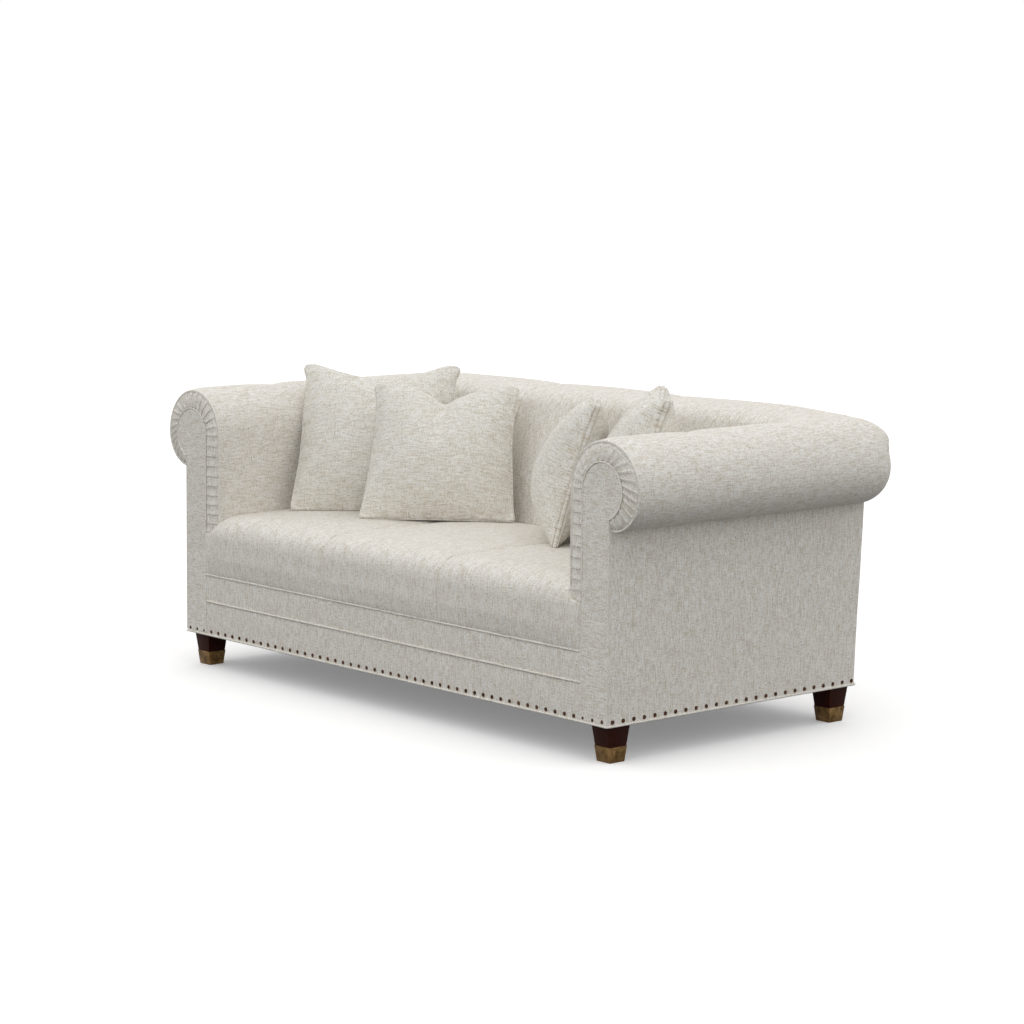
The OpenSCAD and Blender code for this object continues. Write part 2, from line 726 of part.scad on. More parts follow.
// Tapered square block between two heights, over larger than the foot all round
module leg_taper(z0, z1, over) {
    translate([0, 0, z0]) rotate([0, 0, 45])
        cylinder(h = z1 - z0, r1 = (leg_side(z0) + 2*over)/sqrt(2), r2 = (leg_side(z1) + 2*over)/sqrt(2),
            $fn = 4);
}
module leg(s, front) {
    color(walnut) place() side(s) translate([leg_x, leg_y(front), 0]) difference() {
        leg_taper(ferrule_t, leg_h, 0);
        translate([0, 0, bolt_low]) cylinder(d = bolt_d, h = leg_h);
    }
}
module ferrules() {
    color(brass) place() for (s = [-1, 1], front = [true, false])
        side(s) translate([leg_x, leg_y(front), 0]) difference() {
            leg_taper(0, ferrule_h, ferrule_t);
            leg_taper(ferrule_t, leg_h, 0);
        }
}

// Pillows: four need this many pillow widths between the arms, and are drawn smaller where there is less
pillow_room = 3.37;
pillow_fit = min(1, 2*arm_in/(pillow_room*pillow_w));
fit_w = pillow_w*pillow_fit;
// Lower corner nearest the arm, which rests on the crowned seat: its distances from the arm and from the
// inside back, as shares of the pillow's width
function seated(in, front) =
    let (x = arm_in - in*fit_w, share = swell((x - seam_x)/(arm_in - seam_x)))
    [x, seat_d - front*fit_w, seat_z + deck_rise + seat_crown*share + rest_gap];
rest_gap = 0.05;
rear_left_corner = seated(0.1689, 0.8367);
front_left_corner = seated(0.7722, 0.7711);
front_right_corner = seated(0.8256, 0.6867);
rear_right_corner = seated(0.12, 0.8367);
// Turn and lean of each pair
left_turn = 40.5;
right_turn = 41.5;
left_lean = 25;
right_lean = 17;
pillow_n = 14;
pillow_draw = 0.07;
pillow_pinch = 0.05;
// How deep the dent is at a place across the width, 1 in its middle
function dent(u) = pow(max(0, 1 - abs(u)/0.62), 1.3);
// Point of a pillow at u across and v up, each from -1 to 1; s is -1 on the front and 1 on the back
function pillow_point(u, v, h, t, s) =
    let (up = (1 + v)/2,
        x = fit_w/2*u*(1 - pillow_draw*(1 - v*v)*u*u)*(1 - pillow_pinch*up*up),
        z = h/2*v*(1 - pillow_draw*0.6*(1 - u*u)*v*v) - pillow_dent*pillow_fit*dent(u)*pow(up, 3),
        full = pow(1 - pow(abs(u), 2.2), 0.62)*pow(1 - pow(abs(v), 2.2), 0.62),
        y = t/2*full*(1 - 0.45*dent(u)*up*up))
    [x + fit_w/2, s*y, z + h/2];
// Index of grid point i, j on the front (0) or back (1); the edge is shared
function pillow_index(i, j, s) =
    let (n = pillow_n, edge = i == 0 || j == 0 || i == n || j == n)
    edge || s == 0 ? i*(n + 1) + j : (n + 1)*(n + 1) + (i - 1)*(n - 1) + j - 1;
// Two triangles of a grid square, its diagonal towards the middle of the pillow
function pillow_square(i, j, s) =
    let (a = pillow_index(i, j, s), b = pillow_index(i + 1, j, s),
        c = pillow_index(i + 1, j + 1, s), d = pillow_index(i, j + 1, s),
        h = pillow_n/2, inward = (i < h) == (j < h),
        pair = inward ? [[a, c, b], [a, d, c]] : [[a, d, b], [b, d, c]])
    s == 0 ? pair : [for (t = pair) [t[0], t[2], t[1]]];
module pillow(h, t) {
    n = pillow_n;
    points = concat(
        [for (i = [0:n], j = [0:n]) pillow_point(2*i/n - 1, 2*j/n - 1, h, t, -1)],
        [for (i = [1:n - 1], j = [1:n - 1]) pillow_point(2*i/n - 1, 2*j/n - 1, h, t, 1)]);
    polyhedron(points, [for (s = [0, 1], i = [0:n - 1], j = [0:n - 1]) each pillow_square(i, j, s)]);
}
// Pillow of the left or, mirrored, of the right pair at its corner
module pillow_at(s, corner, turn, lean, h, t) {
    color(linen) place() mirror([s > 0 ? 1 : 0, 0, 0])
        translate([-corner[0], corner[1], corner[2]]) rotate([-lean, 0, turn])
            pillow(h*pillow_fit, t*pillow_fit);
}

front_rail();
back_rail();
side(-1) side_rail();  // left_side_rail
side_rail();  // right_side_rail
seat_stretchers();
corner_blocks();
rear_spring_rail();
seat_springs();
spring_clips();
spring_insulator();
seat_foam();
seat_cover_left();
seat_cover_centre();
seat_cover_right();
side(-1) arm_stump();  // left_arm_stump
arm_stump();  // right_arm_stump
side(-1) arm_former();  // left_arm_former
arm_former();  // right_arm_former
side(-1) arm_rail();  // left_arm_rail
arm_rail();  // right_arm_rail
side(-1) arm_board();  // left_arm_board
arm_board();  // right_arm_board
side(-1) arm_foam();  // left_arm_foam
arm_foam();  // right_arm_foam
side(-1) arm_cover();  // left_arm_cover
arm_cover();  // right_arm_cover
side(-1) arm_facing();  // left_arm_facing
arm_facing();  // right_arm_facing
side(-1) pleated_band();  // left_pleated_band
pleated_band();  // right_pleated_band
side(-1) arm_welt();  // left_arm_welt
arm_welt();  // right_arm_welt
side(-1) outside_arm();  // left_outside_arm
outside_arm();  // right_outside_arm
back_formers();
back_top_rail();
back_board();
back_webbing();
back_foam();
back_cover_left();
back_cover_centre();
back_cover_right();
outside_back();
front_border();
front_piping();
base_welt();
nailheads();
dust_cover();
leg_bolts();
leg(-1, true);  // front_left_leg
leg(1, true);  // front_right_leg
leg(-1, false);  // rear_left_leg
leg(1, false);  // rear_right_leg
ferrules();
pillow_at(-1, rear_left_corner, left_turn, left_lean, pillow_h + rear_left_more, pillow_t);  // rear_left_pillow
pillow_at(-1, front_left_corner, left_turn, left_lean, pillow_h, pillow_t);  // front_left_pillow
pillow_at(1, front_right_corner, right_turn, right_lean, pillow_h - front_right_less, plump_t);  // front_right_pillow
pillow_at(1, rear_right_corner, right_turn, right_lean, pillow_h + rear_right_more, plump_t);  // rear_right_pillow
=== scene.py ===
import logging
import math
from dataclasses import dataclass, field
from enum import Enum
from typing import Iterable, Sequence

import bmesh
import bpy
import numpy as np
from mathutils.kdtree import KDTree
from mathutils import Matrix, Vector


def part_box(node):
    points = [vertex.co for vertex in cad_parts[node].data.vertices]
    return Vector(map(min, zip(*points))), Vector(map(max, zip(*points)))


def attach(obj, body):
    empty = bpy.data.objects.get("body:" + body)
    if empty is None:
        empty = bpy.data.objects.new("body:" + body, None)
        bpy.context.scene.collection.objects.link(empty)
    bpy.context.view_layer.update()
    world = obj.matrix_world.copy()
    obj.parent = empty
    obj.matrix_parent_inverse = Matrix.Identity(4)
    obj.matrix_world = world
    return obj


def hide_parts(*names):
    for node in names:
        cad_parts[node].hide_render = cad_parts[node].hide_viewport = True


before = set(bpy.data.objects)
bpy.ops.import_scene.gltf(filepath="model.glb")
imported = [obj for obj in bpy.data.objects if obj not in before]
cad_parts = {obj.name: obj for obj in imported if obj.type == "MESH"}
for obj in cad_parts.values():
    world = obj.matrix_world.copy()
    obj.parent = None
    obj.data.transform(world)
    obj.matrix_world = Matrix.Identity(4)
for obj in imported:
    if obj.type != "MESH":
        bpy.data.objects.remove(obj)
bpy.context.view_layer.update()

BASE_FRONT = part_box("front_border")[0].y
MM = 0.001
# Angle in degrees past which an edge of cloth or of a block stays sharp
SHARP = 48.0
# Flat sides of a covered cord
CORD_SIDES = 10

logging.basicConfig(level=logging.INFO, format="%(name)s: %(message)s")
log = logging.getLogger("sofa")


class Side(Enum):
    """Which side of the sofa a piece is on; the value is the sign of its X."""

    LEFT = -1
    RIGHT = 1

    @property
    def word(self) -> str:
        """The side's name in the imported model."""
        return self.name.lower()


class Section(Enum):
    """A sewn section of the seat or back."""

    LEFT = "left"
    CENTRE = "centre"
    RIGHT = "right"


class Yarn(Enum):
    """Where a cloth's pattern is read from."""

    WEAVE = "weave"
    OBJECT = "object"


# Numbers and points


def linear(code: str) -> tuple[float, float, float, float]:
    """Turn an sRGB hex colour into a linear one.

    Args:
        code: The colour, such as "#a0b0c0".

    Returns:
        Linear red, green, blue and an alpha of 1.
    """
    parts = [int(code[i:i + 2], 16)/255 for i in (1, 3, 5)]
    r, g, b = [p/12.92 if p <= 0.04045 else ((p + 0.055)/1.055)**2.4 for p in parts]
    return r, g, b, 1.0


def to_frame(points: np.ndarray) -> np.ndarray:
    """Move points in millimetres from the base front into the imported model's frame, in metres.

    Args:
        points: Points of shape (..., 3).

    Returns:
        The same points in metres.
    """
    return np.asarray(points, float)*MM + np.array([0.0, BASE_FRONT, 0.0])


def smooth(t: np.ndarray | float) -> np.ndarray:
    """Ease from 0 to 1 as t runs from 0 to 1."""
    t = np.clip(t, 0, 1)
    return t*t*(3 - 2*t)


def arc(centre: tuple[float, float], radius: float, start: float, end: float,
        count: int) -> np.ndarray:
    """Points on an arc in a plane.

    Args:
        centre: The middle of the arc.
        radius: Its radius.
        start: First angle in degrees.
        end: Last angle in degrees.
        count: How many points.

    Returns:
        An array of shape (count, 2).
    """
    a = np.radians(np.linspace(start, end, count))
    return np.stack([centre[0] + radius*np.cos(a), centre[1] + radius*np.sin(a)], 1)


def bend(a: Sequence[float], c: Sequence[float], b: Sequence[float], count: int) -> np.ndarray:
    """Points on a quadratic curve from a to b, drawn towards c."""
    t = np.linspace(0, 1, count)[:, None]
    return (1 - t)**2*np.array(a) + 2*t*(1 - t)*np.array(c) + t*t*np.array(b)


def lengths(line: np.ndarray) -> np.ndarray:
    """Distance along a line of points, from 0."""
    return np.concatenate([[0.0], np.cumsum(np.linalg.norm(np.diff(line, axis=0), axis=1))])


def resample(line: np.ndarray, count: int) -> np.ndarray:
    """The same line with evenly spaced points.

    Args:
        line: Points of shape (n, k).
        count: How many points it gets.

    Returns:
        Points of shape (count, k).
    """
    s = lengths(line)
    want = np.linspace(0, s[-1], count)
    return np.stack([np.interp(want, s, line[:, k]) for k in range(line.shape[1])], 1)


def fair(points: Sequence[Sequence[float]], count: int) -> np.ndarray:
    """Evenly spaced points on a smooth curve through the given ones.

    Args:
        points: The points that it passes.
        count: How many points it gets.

    Returns:
        Points of shape (count, k).
    """
    p = np.asarray(points, float)
    s = lengths(p)
    slope = np.gradient(p, s, axis=0)
    t = np.linspace(0, 1, 9)[:-1, None]
    fine = []
    for k, step in enumerate(np.diff(s)):
        fine.append((1 + 2*t)*(1 - t)**2*p[k] + t*(1 - t)**2*step*slope[k]
                    + t*t*(3 - 2*t)*p[k + 1] + t*t*(t - 1)*step*slope[k + 1])
    return resample(np.concatenate([*fine, p[-1:]]), count)


def packed(low: float, high: float, count: int, even: float = 0.0) -> np.ndarray:
    """Numbers that lie closer together towards both ends, where a seam turns in tightly.

    Args:
        low: The first.
        high: The last.
        count: How many.
        even: Share of the spacing that stays even.

    Returns:
        An array of count numbers.
    """
    close = low + (high - low)*(1 - np.cos(np.linspace(0, math.pi, count)))/2
    return (1 - even)*close + even*np.linspace(low, high, count)


def at_depth(line: np.ndarray, depth: float | np.ndarray) -> np.ndarray:
    """A line in X and Z, at one depth or at a depth for each point."""
    return np.column_stack([line[:, 0], np.broadcast_to(depth, len(line)), line[:, 1]])


def at_height(line: np.ndarray, height: float) -> np.ndarray:
    """A line in X and Y, at a height."""
    return np.column_stack([line, np.full(len(line), height)])


def line_normals(line: np.ndarray) -> np.ndarray:
    """Unit normals of a line in a plane, to its left.

    Args:
        line: Points of shape (n, 2).

    Returns:
        A normal for each point.
    """
    tangent = np.gradient(line, axis=0)
    tangent /= np.linalg.norm(tangent, axis=1, keepdims=True)
    return np.column_stack([-tangent[:, 1], tangent[:, 0]])


def grid_normals(grid: np.ndarray) -> np.ndarray:
    """Unit normals of a grid of points.

    Args:
        grid: Points of shape (rows, columns, 3).

    Returns:
        A normal for each point.
    """
    normal = np.cross(np.gradient(grid, axis=0), np.gradient(grid, axis=1))
    return normal/np.maximum(np.linalg.norm(normal, axis=2, keepdims=True), 1e-9)


def face_out(grid: np.ndarray, mirrored: bool) -> np.ndarray:
    """A grid drawn facing inwards on the right: mirrored to the left, or with columns reversed."""
    return grid*np.array([-1, 1, 1]) if mirrored else grid[:, ::-1]


def soft_waves(points: np.ndarray, size: float, wave: float, seed: int) -> np.ndarray:
    """Gentle unevenness of stuffed cloth, the same at the same place in space.

    Args:
        points: Points of shape (..., 3), in millimetres.
        size: Half height of the waves.
        wave: Their mean length.
        seed: Seed of the random directions.

    Returns:
        An offset for each point.
    """
    rng = np.random.default_rng(seed)
    total = np.zeros(points.shape[:-1])
    for _ in range(7):
        d = rng.normal(size=3)
        d /= np.linalg.norm(d)
        total += np.sin(points @ d*2*math.pi/(wave*rng.uniform(0.7, 1.5)) + rng.uniform(0, 6.28))
    return total*size/2.6


# Meshes


def add_object(name: str, data: bpy.types.ID) -> bpy.types.Object:
    """Put a new object in the scene.

    Args:
        name: Its name.
        data: Its mesh, lamp or lens.

    Returns:
        The object.
    """
    thing = bpy.data.objects.new(name, data)
    bpy.context.scene.collection.objects.link(thing)
    return thing


def bake(thing: bpy.types.Object) -> bpy.types.Mesh:
    """Keep what an object's modifiers make of it as its plain mesh, and remove them.

    Args:
        thing: The object.

    Returns:
        Its new mesh.
    """
    bpy.context.view_layer.update()
    graph = bpy.context.evaluated_depsgraph_get()
    mesh = bpy.data.meshes.new_from_object(thing.evaluated_get(graph))
    thing.modifiers.clear()
    thing.data = mesh
    mesh.name = thing.name
    return mesh


def make_object(name: str, verts: np.ndarray, faces: Iterable[Sequence[int]],
                material: bpy.types.Material, uvs: np.ndarray | None = None,
                sharp: float = SHARP) -> bpy.types.Object:
    """Make a closed smooth-shaded object with its faces outwards.

    Args:
        name: Its name.
        verts: Points in millimetres, of shape (n, 3).
        faces: Corner numbers of each face.
        material: Its finish.
        uvs: Place of each point on the cloth, in metres, or None.
        sharp: Angle in degrees past which an edge stays sharp.

    Returns:
        The new object, linked to the scene.
    """
    mesh = bpy.data.meshes.new(name)
    mesh.from_pydata(to_frame(verts).tolist(), [], [list(map(int, f)) for f in faces])
    if uvs is not None:
        layer = mesh.uv_layers.new(name="weave")
        corner = np.empty(len(mesh.loops), np.int32)
        mesh.loops.foreach_get("vertex_index", corner)
        layer.data.foreach_set("uv", np.asarray(uvs, np.float32)[corner].ravel())
    work = bmesh.new()
    work.from_mesh(mesh)
    bmesh.ops.remove_doubles(work, verts=work.verts, dist=0.02*MM)
    bmesh.ops.dissolve_degenerate(work, edges=work.edges, dist=0.001*MM)
    bmesh.ops.recalc_face_normals(work, faces=work.faces)
    work.to_mesh(mesh)
    work.free()
    mesh.materials.append(material)
    mesh.shade_smooth()
    mesh.set_sharp_from_angle(angle=math.radians(sharp))
    return add_object(name, mesh)


def grid_faces(rows: int, cols: int, start: int = 0) -> list[tuple[int, int, int, int]]:
    """Squares of a grid of points numbered row by row from start."""
    corners = [start + i*cols + j for i in range(rows - 1) for j in range(cols - 1)]
    return [(k, k + cols, k + cols + 1, k + 1) for k in corners]


def cloth_uv(grid: np.ndarray) -> np.ndarray:
    """Place of each grid point on its cloth, measured along the middle row and column.

    Args:
        grid: Points of shape (rows, columns, 3), in millimetres.

    Returns:
        Places of shape (rows, columns, 2), in metres.
    """
    rows, cols = grid.shape[:2]
    u = lengths(grid[:, cols//2])
    v = lengths(grid[rows//2])
    return np.stack(np.meshgrid(u, v, indexing="ij"), 2)*MM


def shell(name: str, grids: Sequence[np.ndarray], material: bpy.types.Material, thick: float = 3.0,
          uvs: Sequence[np.ndarray] | None = None) -> bpy.types.Object:
    """A closed sheet of cloth with its face on one or more grids that share their edges.

    Args:
        name: The piece's name.
        grids: Points of shape (rows, columns, 3), turned so that rows crossed with columns point
            outwards.
        material: Its finish.
        thick: Thickness of cloth and padding behind the face.
        uvs: Place of each point on the cloth, in metres, for each grid.

    Returns:
        The new object.
    """
    points = np.concatenate([g.reshape(-1, 3) for g in grids])
    flat = np.concatenate([u.reshape(-1, 2) for u in (uvs or [cloth_uv(g) for g in grids])])
    squares, start = [], 0
    for grid in grids:
        squares += grid_faces(*grid.shape[:2], start=start)
        start += grid.shape[0]*grid.shape[1]
    # Points that meet, to a hundredth of a millimetre, become one, which closes seams between grids
    whole = np.round(points*100).astype(np.int64)
    _, first, weld = np.unique(whole, axis=0, return_index=True, return_inverse=True)
    weld = weld.reshape(-1)
    points, flat = points[first], flat[first]
    corners = weld[np.array(squares)]
    normal = np.zeros_like(points)
    across = np.cross(points[corners[:, 2]] - points[corners[:, 0]],
                      points[corners[:, 3]] - points[corners[:, 1]])
    for k in range(4):
        np.add.at(normal, corners[:, k], across)
    normal /= np.maximum(np.linalg.norm(normal, axis=1, keepdims=True), 1e-9)
    faces = [tuple(dict.fromkeys(map(int, f))) for f in corners]
    faces = [f for f in faces if len(f) > 2]
    total = len(points)
    uses: dict[tuple[int, int], int] = {}
    for f in faces:
        for a, b in zip(f, f[1:] + f[:1]):
            uses[(a, b)] = uses.get((a, b), 0) + 1
    walls = [(b, a, a + total, b + total) for a, b in uses if (b, a) not in uses]
    back = [tuple(k + total for k in reversed(f)) for f in faces]
    return make_object(name, np.concatenate([points, points - normal*thick]), faces + back + walls,
                       material, np.concatenate([flat, flat]))


def join(name: str, parts: list[bpy.types.Object]) -> bpy.types.Object:
    """Join several objects into the first and name it.

    Args:
        name: The joined object's name.
        parts: The objects.

    Returns:
        The first of them, which now holds them all.
    """
    first = parts[0]
    with bpy.context.temp_override(active_object=first, object=first, selected_objects=parts,
                                   selected_editable_objects=parts):
        bpy.ops.object.join()
    first.name = name
    first.data.name = name
    return first


def path_object(name: str, lines: Sequence[np.ndarray], closed: bool = False,
                facing: Sequence[Sequence[float]] | None = None) -> bpy.types.Object:
    """A wire of edges for a geometry tree to follow.

    Args:
        name: The wire's name.
        lines: One array of points in millimetres for each run.
        closed: Whether each run joins its own start.
        facing: Outward direction of each run, or None.

    Returns:
        The wire object.
    """
    verts, edges, outward = [], [], []
    for k, line in enumerate(lines):
        start = len(verts)
        verts += to_frame(line).tolist()
        last = len(line) - (0 if closed else 1)
        edges += [(start + i, start + (i + 1) % len(line)) for i in range(last)]
        outward += [list(facing[k]) if facing is not None else [0, 0, 1]]*len(line)
    mesh = bpy.data.meshes.new(name)
    mesh.from_pydata(verts, edges, [])
    ways = mesh.attributes.new("facing", "FLOAT_VECTOR", "POINT")
    ways.data.foreach_set("vector", np.array(outward, float).ravel())
    return add_object(name, mesh)


# Node trees


def add_node(tree: bpy.types.NodeTree, kind: str, links: dict | None = None,
             stops: Sequence | None = None, **settings: object) -> bpy.types.Node:
    """Add a node with its settings and links.

    Args:
        tree: The tree it goes in.
        kind: The node's type.
        links: For each input, by name or number, a socket to link or a value to set.
        stops: Place and hex colour of each stop of a colour ramp.
        settings: The node's own properties.

    Returns:
        The new node.
    """
    node = tree.nodes.new(kind)
    for key, value in settings.items():
        setattr(node, key, value)
    for key, value in (links or {}).items():
        if isinstance(value, bpy.types.NodeSocket):
            tree.links.new(value, node.inputs[key])
        else:
            node.inputs[key].default_value = value
    for k, (place, code) in enumerate(stops or ()):
        ramp = node.color_ramp.elements
        stop = ramp[k] if k < 2 else ramp.new(place)
        stop.position = place
        stop.color = linear(code)
    return node


def new_tree(name: str,
             sockets: Sequence[tuple[str, str]]) -> tuple[bpy.types.NodeTree, bpy.types.Node]:
    """A geometry tree with a geometry input, more named inputs, and a geometry output.

    Args:
        name: The tree's name.
        sockets: Name and kind of each further input.

    Returns:
        The tree and its input node.
    """
    tree = bpy.data.node_groups.new(name, "GeometryNodeTree")
    tree.interface.new_socket(name="Geometry", in_out="INPUT", socket_type="NodeSocketGeometry")
    for label, kind in sockets:
        tree.interface.new_socket(name=label, in_out="INPUT", socket_type=f"NodeSocket{kind}")
    tree.interface.new_socket(name="Geometry", in_out="OUTPUT", socket_type="NodeSocketGeometry")
    return tree, add_node(tree, "NodeGroupInput")


def end_tree(tree: bpy.types.NodeTree, given: bpy.types.Node,
             geometry: bpy.types.NodeSocket) -> bpy.types.NodeTree:
    """Finish a tree with realised instances and the material from its input.

    Args:
        tree: The tree.
        given: Its input node.
        geometry: The finished geometry.

    Returns:
        The same tree.
    """
    whole = add_node(tree, "GeometryNodeRealizeInstances", {0: geometry})
    dressed = add_node(tree, "GeometryNodeSetMaterial", {"Geometry": whole.outputs[0],
                                                         "Material": given.outputs["Material"]})
    add_node(tree, "NodeGroupOutput", {0: dressed.outputs[0]})
    return tree


def run_tree(thing: bpy.types.Object, tree: bpy.types.NodeTree,
             **values: object) -> bpy.types.Object:
    """Run a geometry tree on an object and keep the result as its plain mesh.

    Args:
        thing: The object whose mesh goes in.
        tree: The tree.
        values: One value for each named input of the tree.

    Returns:
        The same object with its new mesh and no modifier.
    """
    change = thing.modifiers.new(tree.name, "NODES")
    change.node_group = tree
    known = {s.name: s.identifier for s in tree.interface.items_tree
             if s.item_type == "SOCKET" and s.in_out == "INPUT"}
    for key, value in values.items():
        change[known[key]] = value
    bake(thing)
    return thing


def cord_tree() -> bpy.types.NodeTree:
    """Covered cord that follows a wire, with closed ends.

    Returns:
        The tree.
    """
    tree, given = new_tree("covered cord", [("Diameter", "Float"), ("Spacing", "Float"),
                                            ("Sides", "Int"), ("Material", "Material")])
    line = add_node(tree, "GeometryNodeMeshToCurve", {0: given.outputs["Geometry"]})
    even = add_node(tree, "GeometryNodeResampleCurve",
                    {"Curve": line.outputs[0], "Length": given.outputs["Spacing"]}, mode="LENGTH")
    half = add_node(tree, "ShaderNodeMath", {0: given.outputs["Diameter"], 1: 0.5},
                    operation="MULTIPLY")
    ring = add_node(tree, "GeometryNodeCurvePrimitiveCircle",
                    {"Resolution": given.outputs["Sides"], "Radius": half.outputs[0]},
                    mode="RADIUS")
    tube = add_node(tree, "GeometryNodeCurveToMesh",
                    {"Curve": even.outputs[0], "Profile Curve": ring.outputs[0], "Fill Caps": True})
    fair = add_node(tree, "GeometryNodeSetShadeSmooth", {0: tube.outputs[0]})
    return end_tree(tree, given, fair.outputs[0])


def nail_tree() -> bpy.types.NodeTree:
    """Row of domed nailheads along a wire, each turned to the wire's facing.

    Returns:
        The tree.
    """
    tree, given = new_tree("nail row", [("Pitch", "Float"), ("Diameter", "Float"),
                                        ("Height", "Float"), ("Material", "Material")])
    line = add_node(tree, "GeometryNodeMeshToCurve", {0: given.outputs["Geometry"]})
    even = add_node(tree, "GeometryNodeResampleCurve",
                    {"Curve": line.outputs[0], "Length": given.outputs["Pitch"]}, mode="LENGTH")
    half = add_node(tree, "ShaderNodeMath", {0: given.outputs["Diameter"], 1: 0.5},
                    operation="MULTIPLY")
    ball = add_node(tree, "GeometryNodeMeshUVSphere",
                    {"Segments": 14, "Rings": 9, "Radius": half.outputs[0]})
    share = add_node(tree, "ShaderNodeMath", {0: given.outputs["Height"], 1: half.outputs[0]},
                     operation="DIVIDE")
    size = add_node(tree, "ShaderNodeCombineXYZ", {0: 1.0, 1: 1.0, 2: share.outputs[0]})
    dome = add_node(tree, "GeometryNodeTransform",
                    {"Geometry": ball.outputs[0], "Scale": size.outputs[0]})
    fair = add_node(tree, "GeometryNodeSetShadeSmooth", {0: dome.outputs[0]})
    out = add_node(tree, "GeometryNodeInputNamedAttribute", {"Name": "facing"},
                   data_type="FLOAT_VECTOR")
    turn = add_node(tree, "FunctionNodeAlignRotationToVector", {"Vector": out.outputs[0]}, axis="Z")
    row = add_node(tree, "GeometryNodeInstanceOnPoints",
                   {"Points": even.outputs[0], "Instance": fair.outputs[0],
                    "Rotation": turn.outputs[0]})
    return end_tree(tree, given, row.outputs[0])


def pleat_tree() -> bpy.types.NodeTree:
    """Folds laid like shingles over a flat band, whose points carry their pleats, hold and run.

    Returns:
        The tree.
    """
    tree, given = new_tree("shingled pleats", [("Step", "Float"), ("Overlap", "Float"),
                                               ("Groove", "Float"), ("Material", "Material")])
    marks = (("pleats", "FLOAT"), ("hold", "FLOAT"), ("run", "FLOAT_VECTOR"))
    count, hold, run = (add_node(tree, "GeometryNodeInputNamedAttribute", {"Name": name},
                                 data_type=kind).outputs[0] for name, kind in marks)
    part = add_node(tree, "ShaderNodeMath", {0: count}, operation="FRACT").outputs[0]
    # Where each share starts and ends along a leaf, and what it is there: the rounding of the fold,
    # its fall to the next one, its slip over the last, and the gap before the next
    spans = ((0.0, 0.04, 0.2, 1.0), (0.05, 0.55, 1.0, 0.0), (0.0, 0.1, 1.0, 0.0),
             (0.9, 0.97, 0.0, 1.0))
    rounding, *shares = (
        add_node(tree, "ShaderNodeMapRange", {"Value": part, "From Min": start, "From Max": end,
                                              "To Min": first, "To Max": last},
                 interpolation_type="SMOOTHSTEP").outputs[0] for start, end, first, last in spans)
    sizes = []
    for share, size in zip(shares, ("Step", "Overlap", "Groove")):
        held = add_node(tree, "ShaderNodeMath", {0: share, 1: hold},
                        operation="MULTIPLY").outputs[0]
        sizes.append(add_node(tree, "ShaderNodeMath", {0: held, 1: given.outputs[size]},
                              operation="MULTIPLY").outputs[0])
    fall, lap, gap = sizes
    fold = add_node(tree, "ShaderNodeMath", {0: fall, 1: rounding}, operation="MULTIPLY").outputs[0]
    high = add_node(tree, "ShaderNodeMath", {0: fold, 1: gap}, operation="SUBTRACT").outputs[0]
    lift = add_node(tree, "ShaderNodeVectorMath", {0: (0.0, -1.0, 0.0), "Scale": high},
                    operation="SCALE")
    slip = add_node(tree, "ShaderNodeVectorMath", {0: run, "Scale": lap}, operation="SCALE")
    move = add_node(tree, "ShaderNodeVectorMath", {0: lift.outputs[0], 1: slip.outputs[0]},
                    operation="SUBTRACT")
    laid = add_node(tree, "GeometryNodeSetPosition",
                    {"Geometry": given.outputs["Geometry"], "Offset": move.outputs[0]})
    return end_tree(tree, given, laid.outputs[0])


# Finishes


def new_material(name: str) -> tuple[bpy.types.Material, bpy.types.NodeTree, bpy.types.Node]:
    """An empty material with a principled shader on its output.

    Args:
        name: The material's name.

    Returns:
        The material, its tree and its shader.
    """
    material = bpy.data.materials.new(name)
    material.use_nodes = True
    tree = material.node_tree
    tree.nodes.clear()
    shader = add_node(tree, "ShaderNodeBsdfPrincipled")
    add_node(tree, "ShaderNodeOutputMaterial", {"Surface": shader.outputs[0]})
    return material, tree, shader


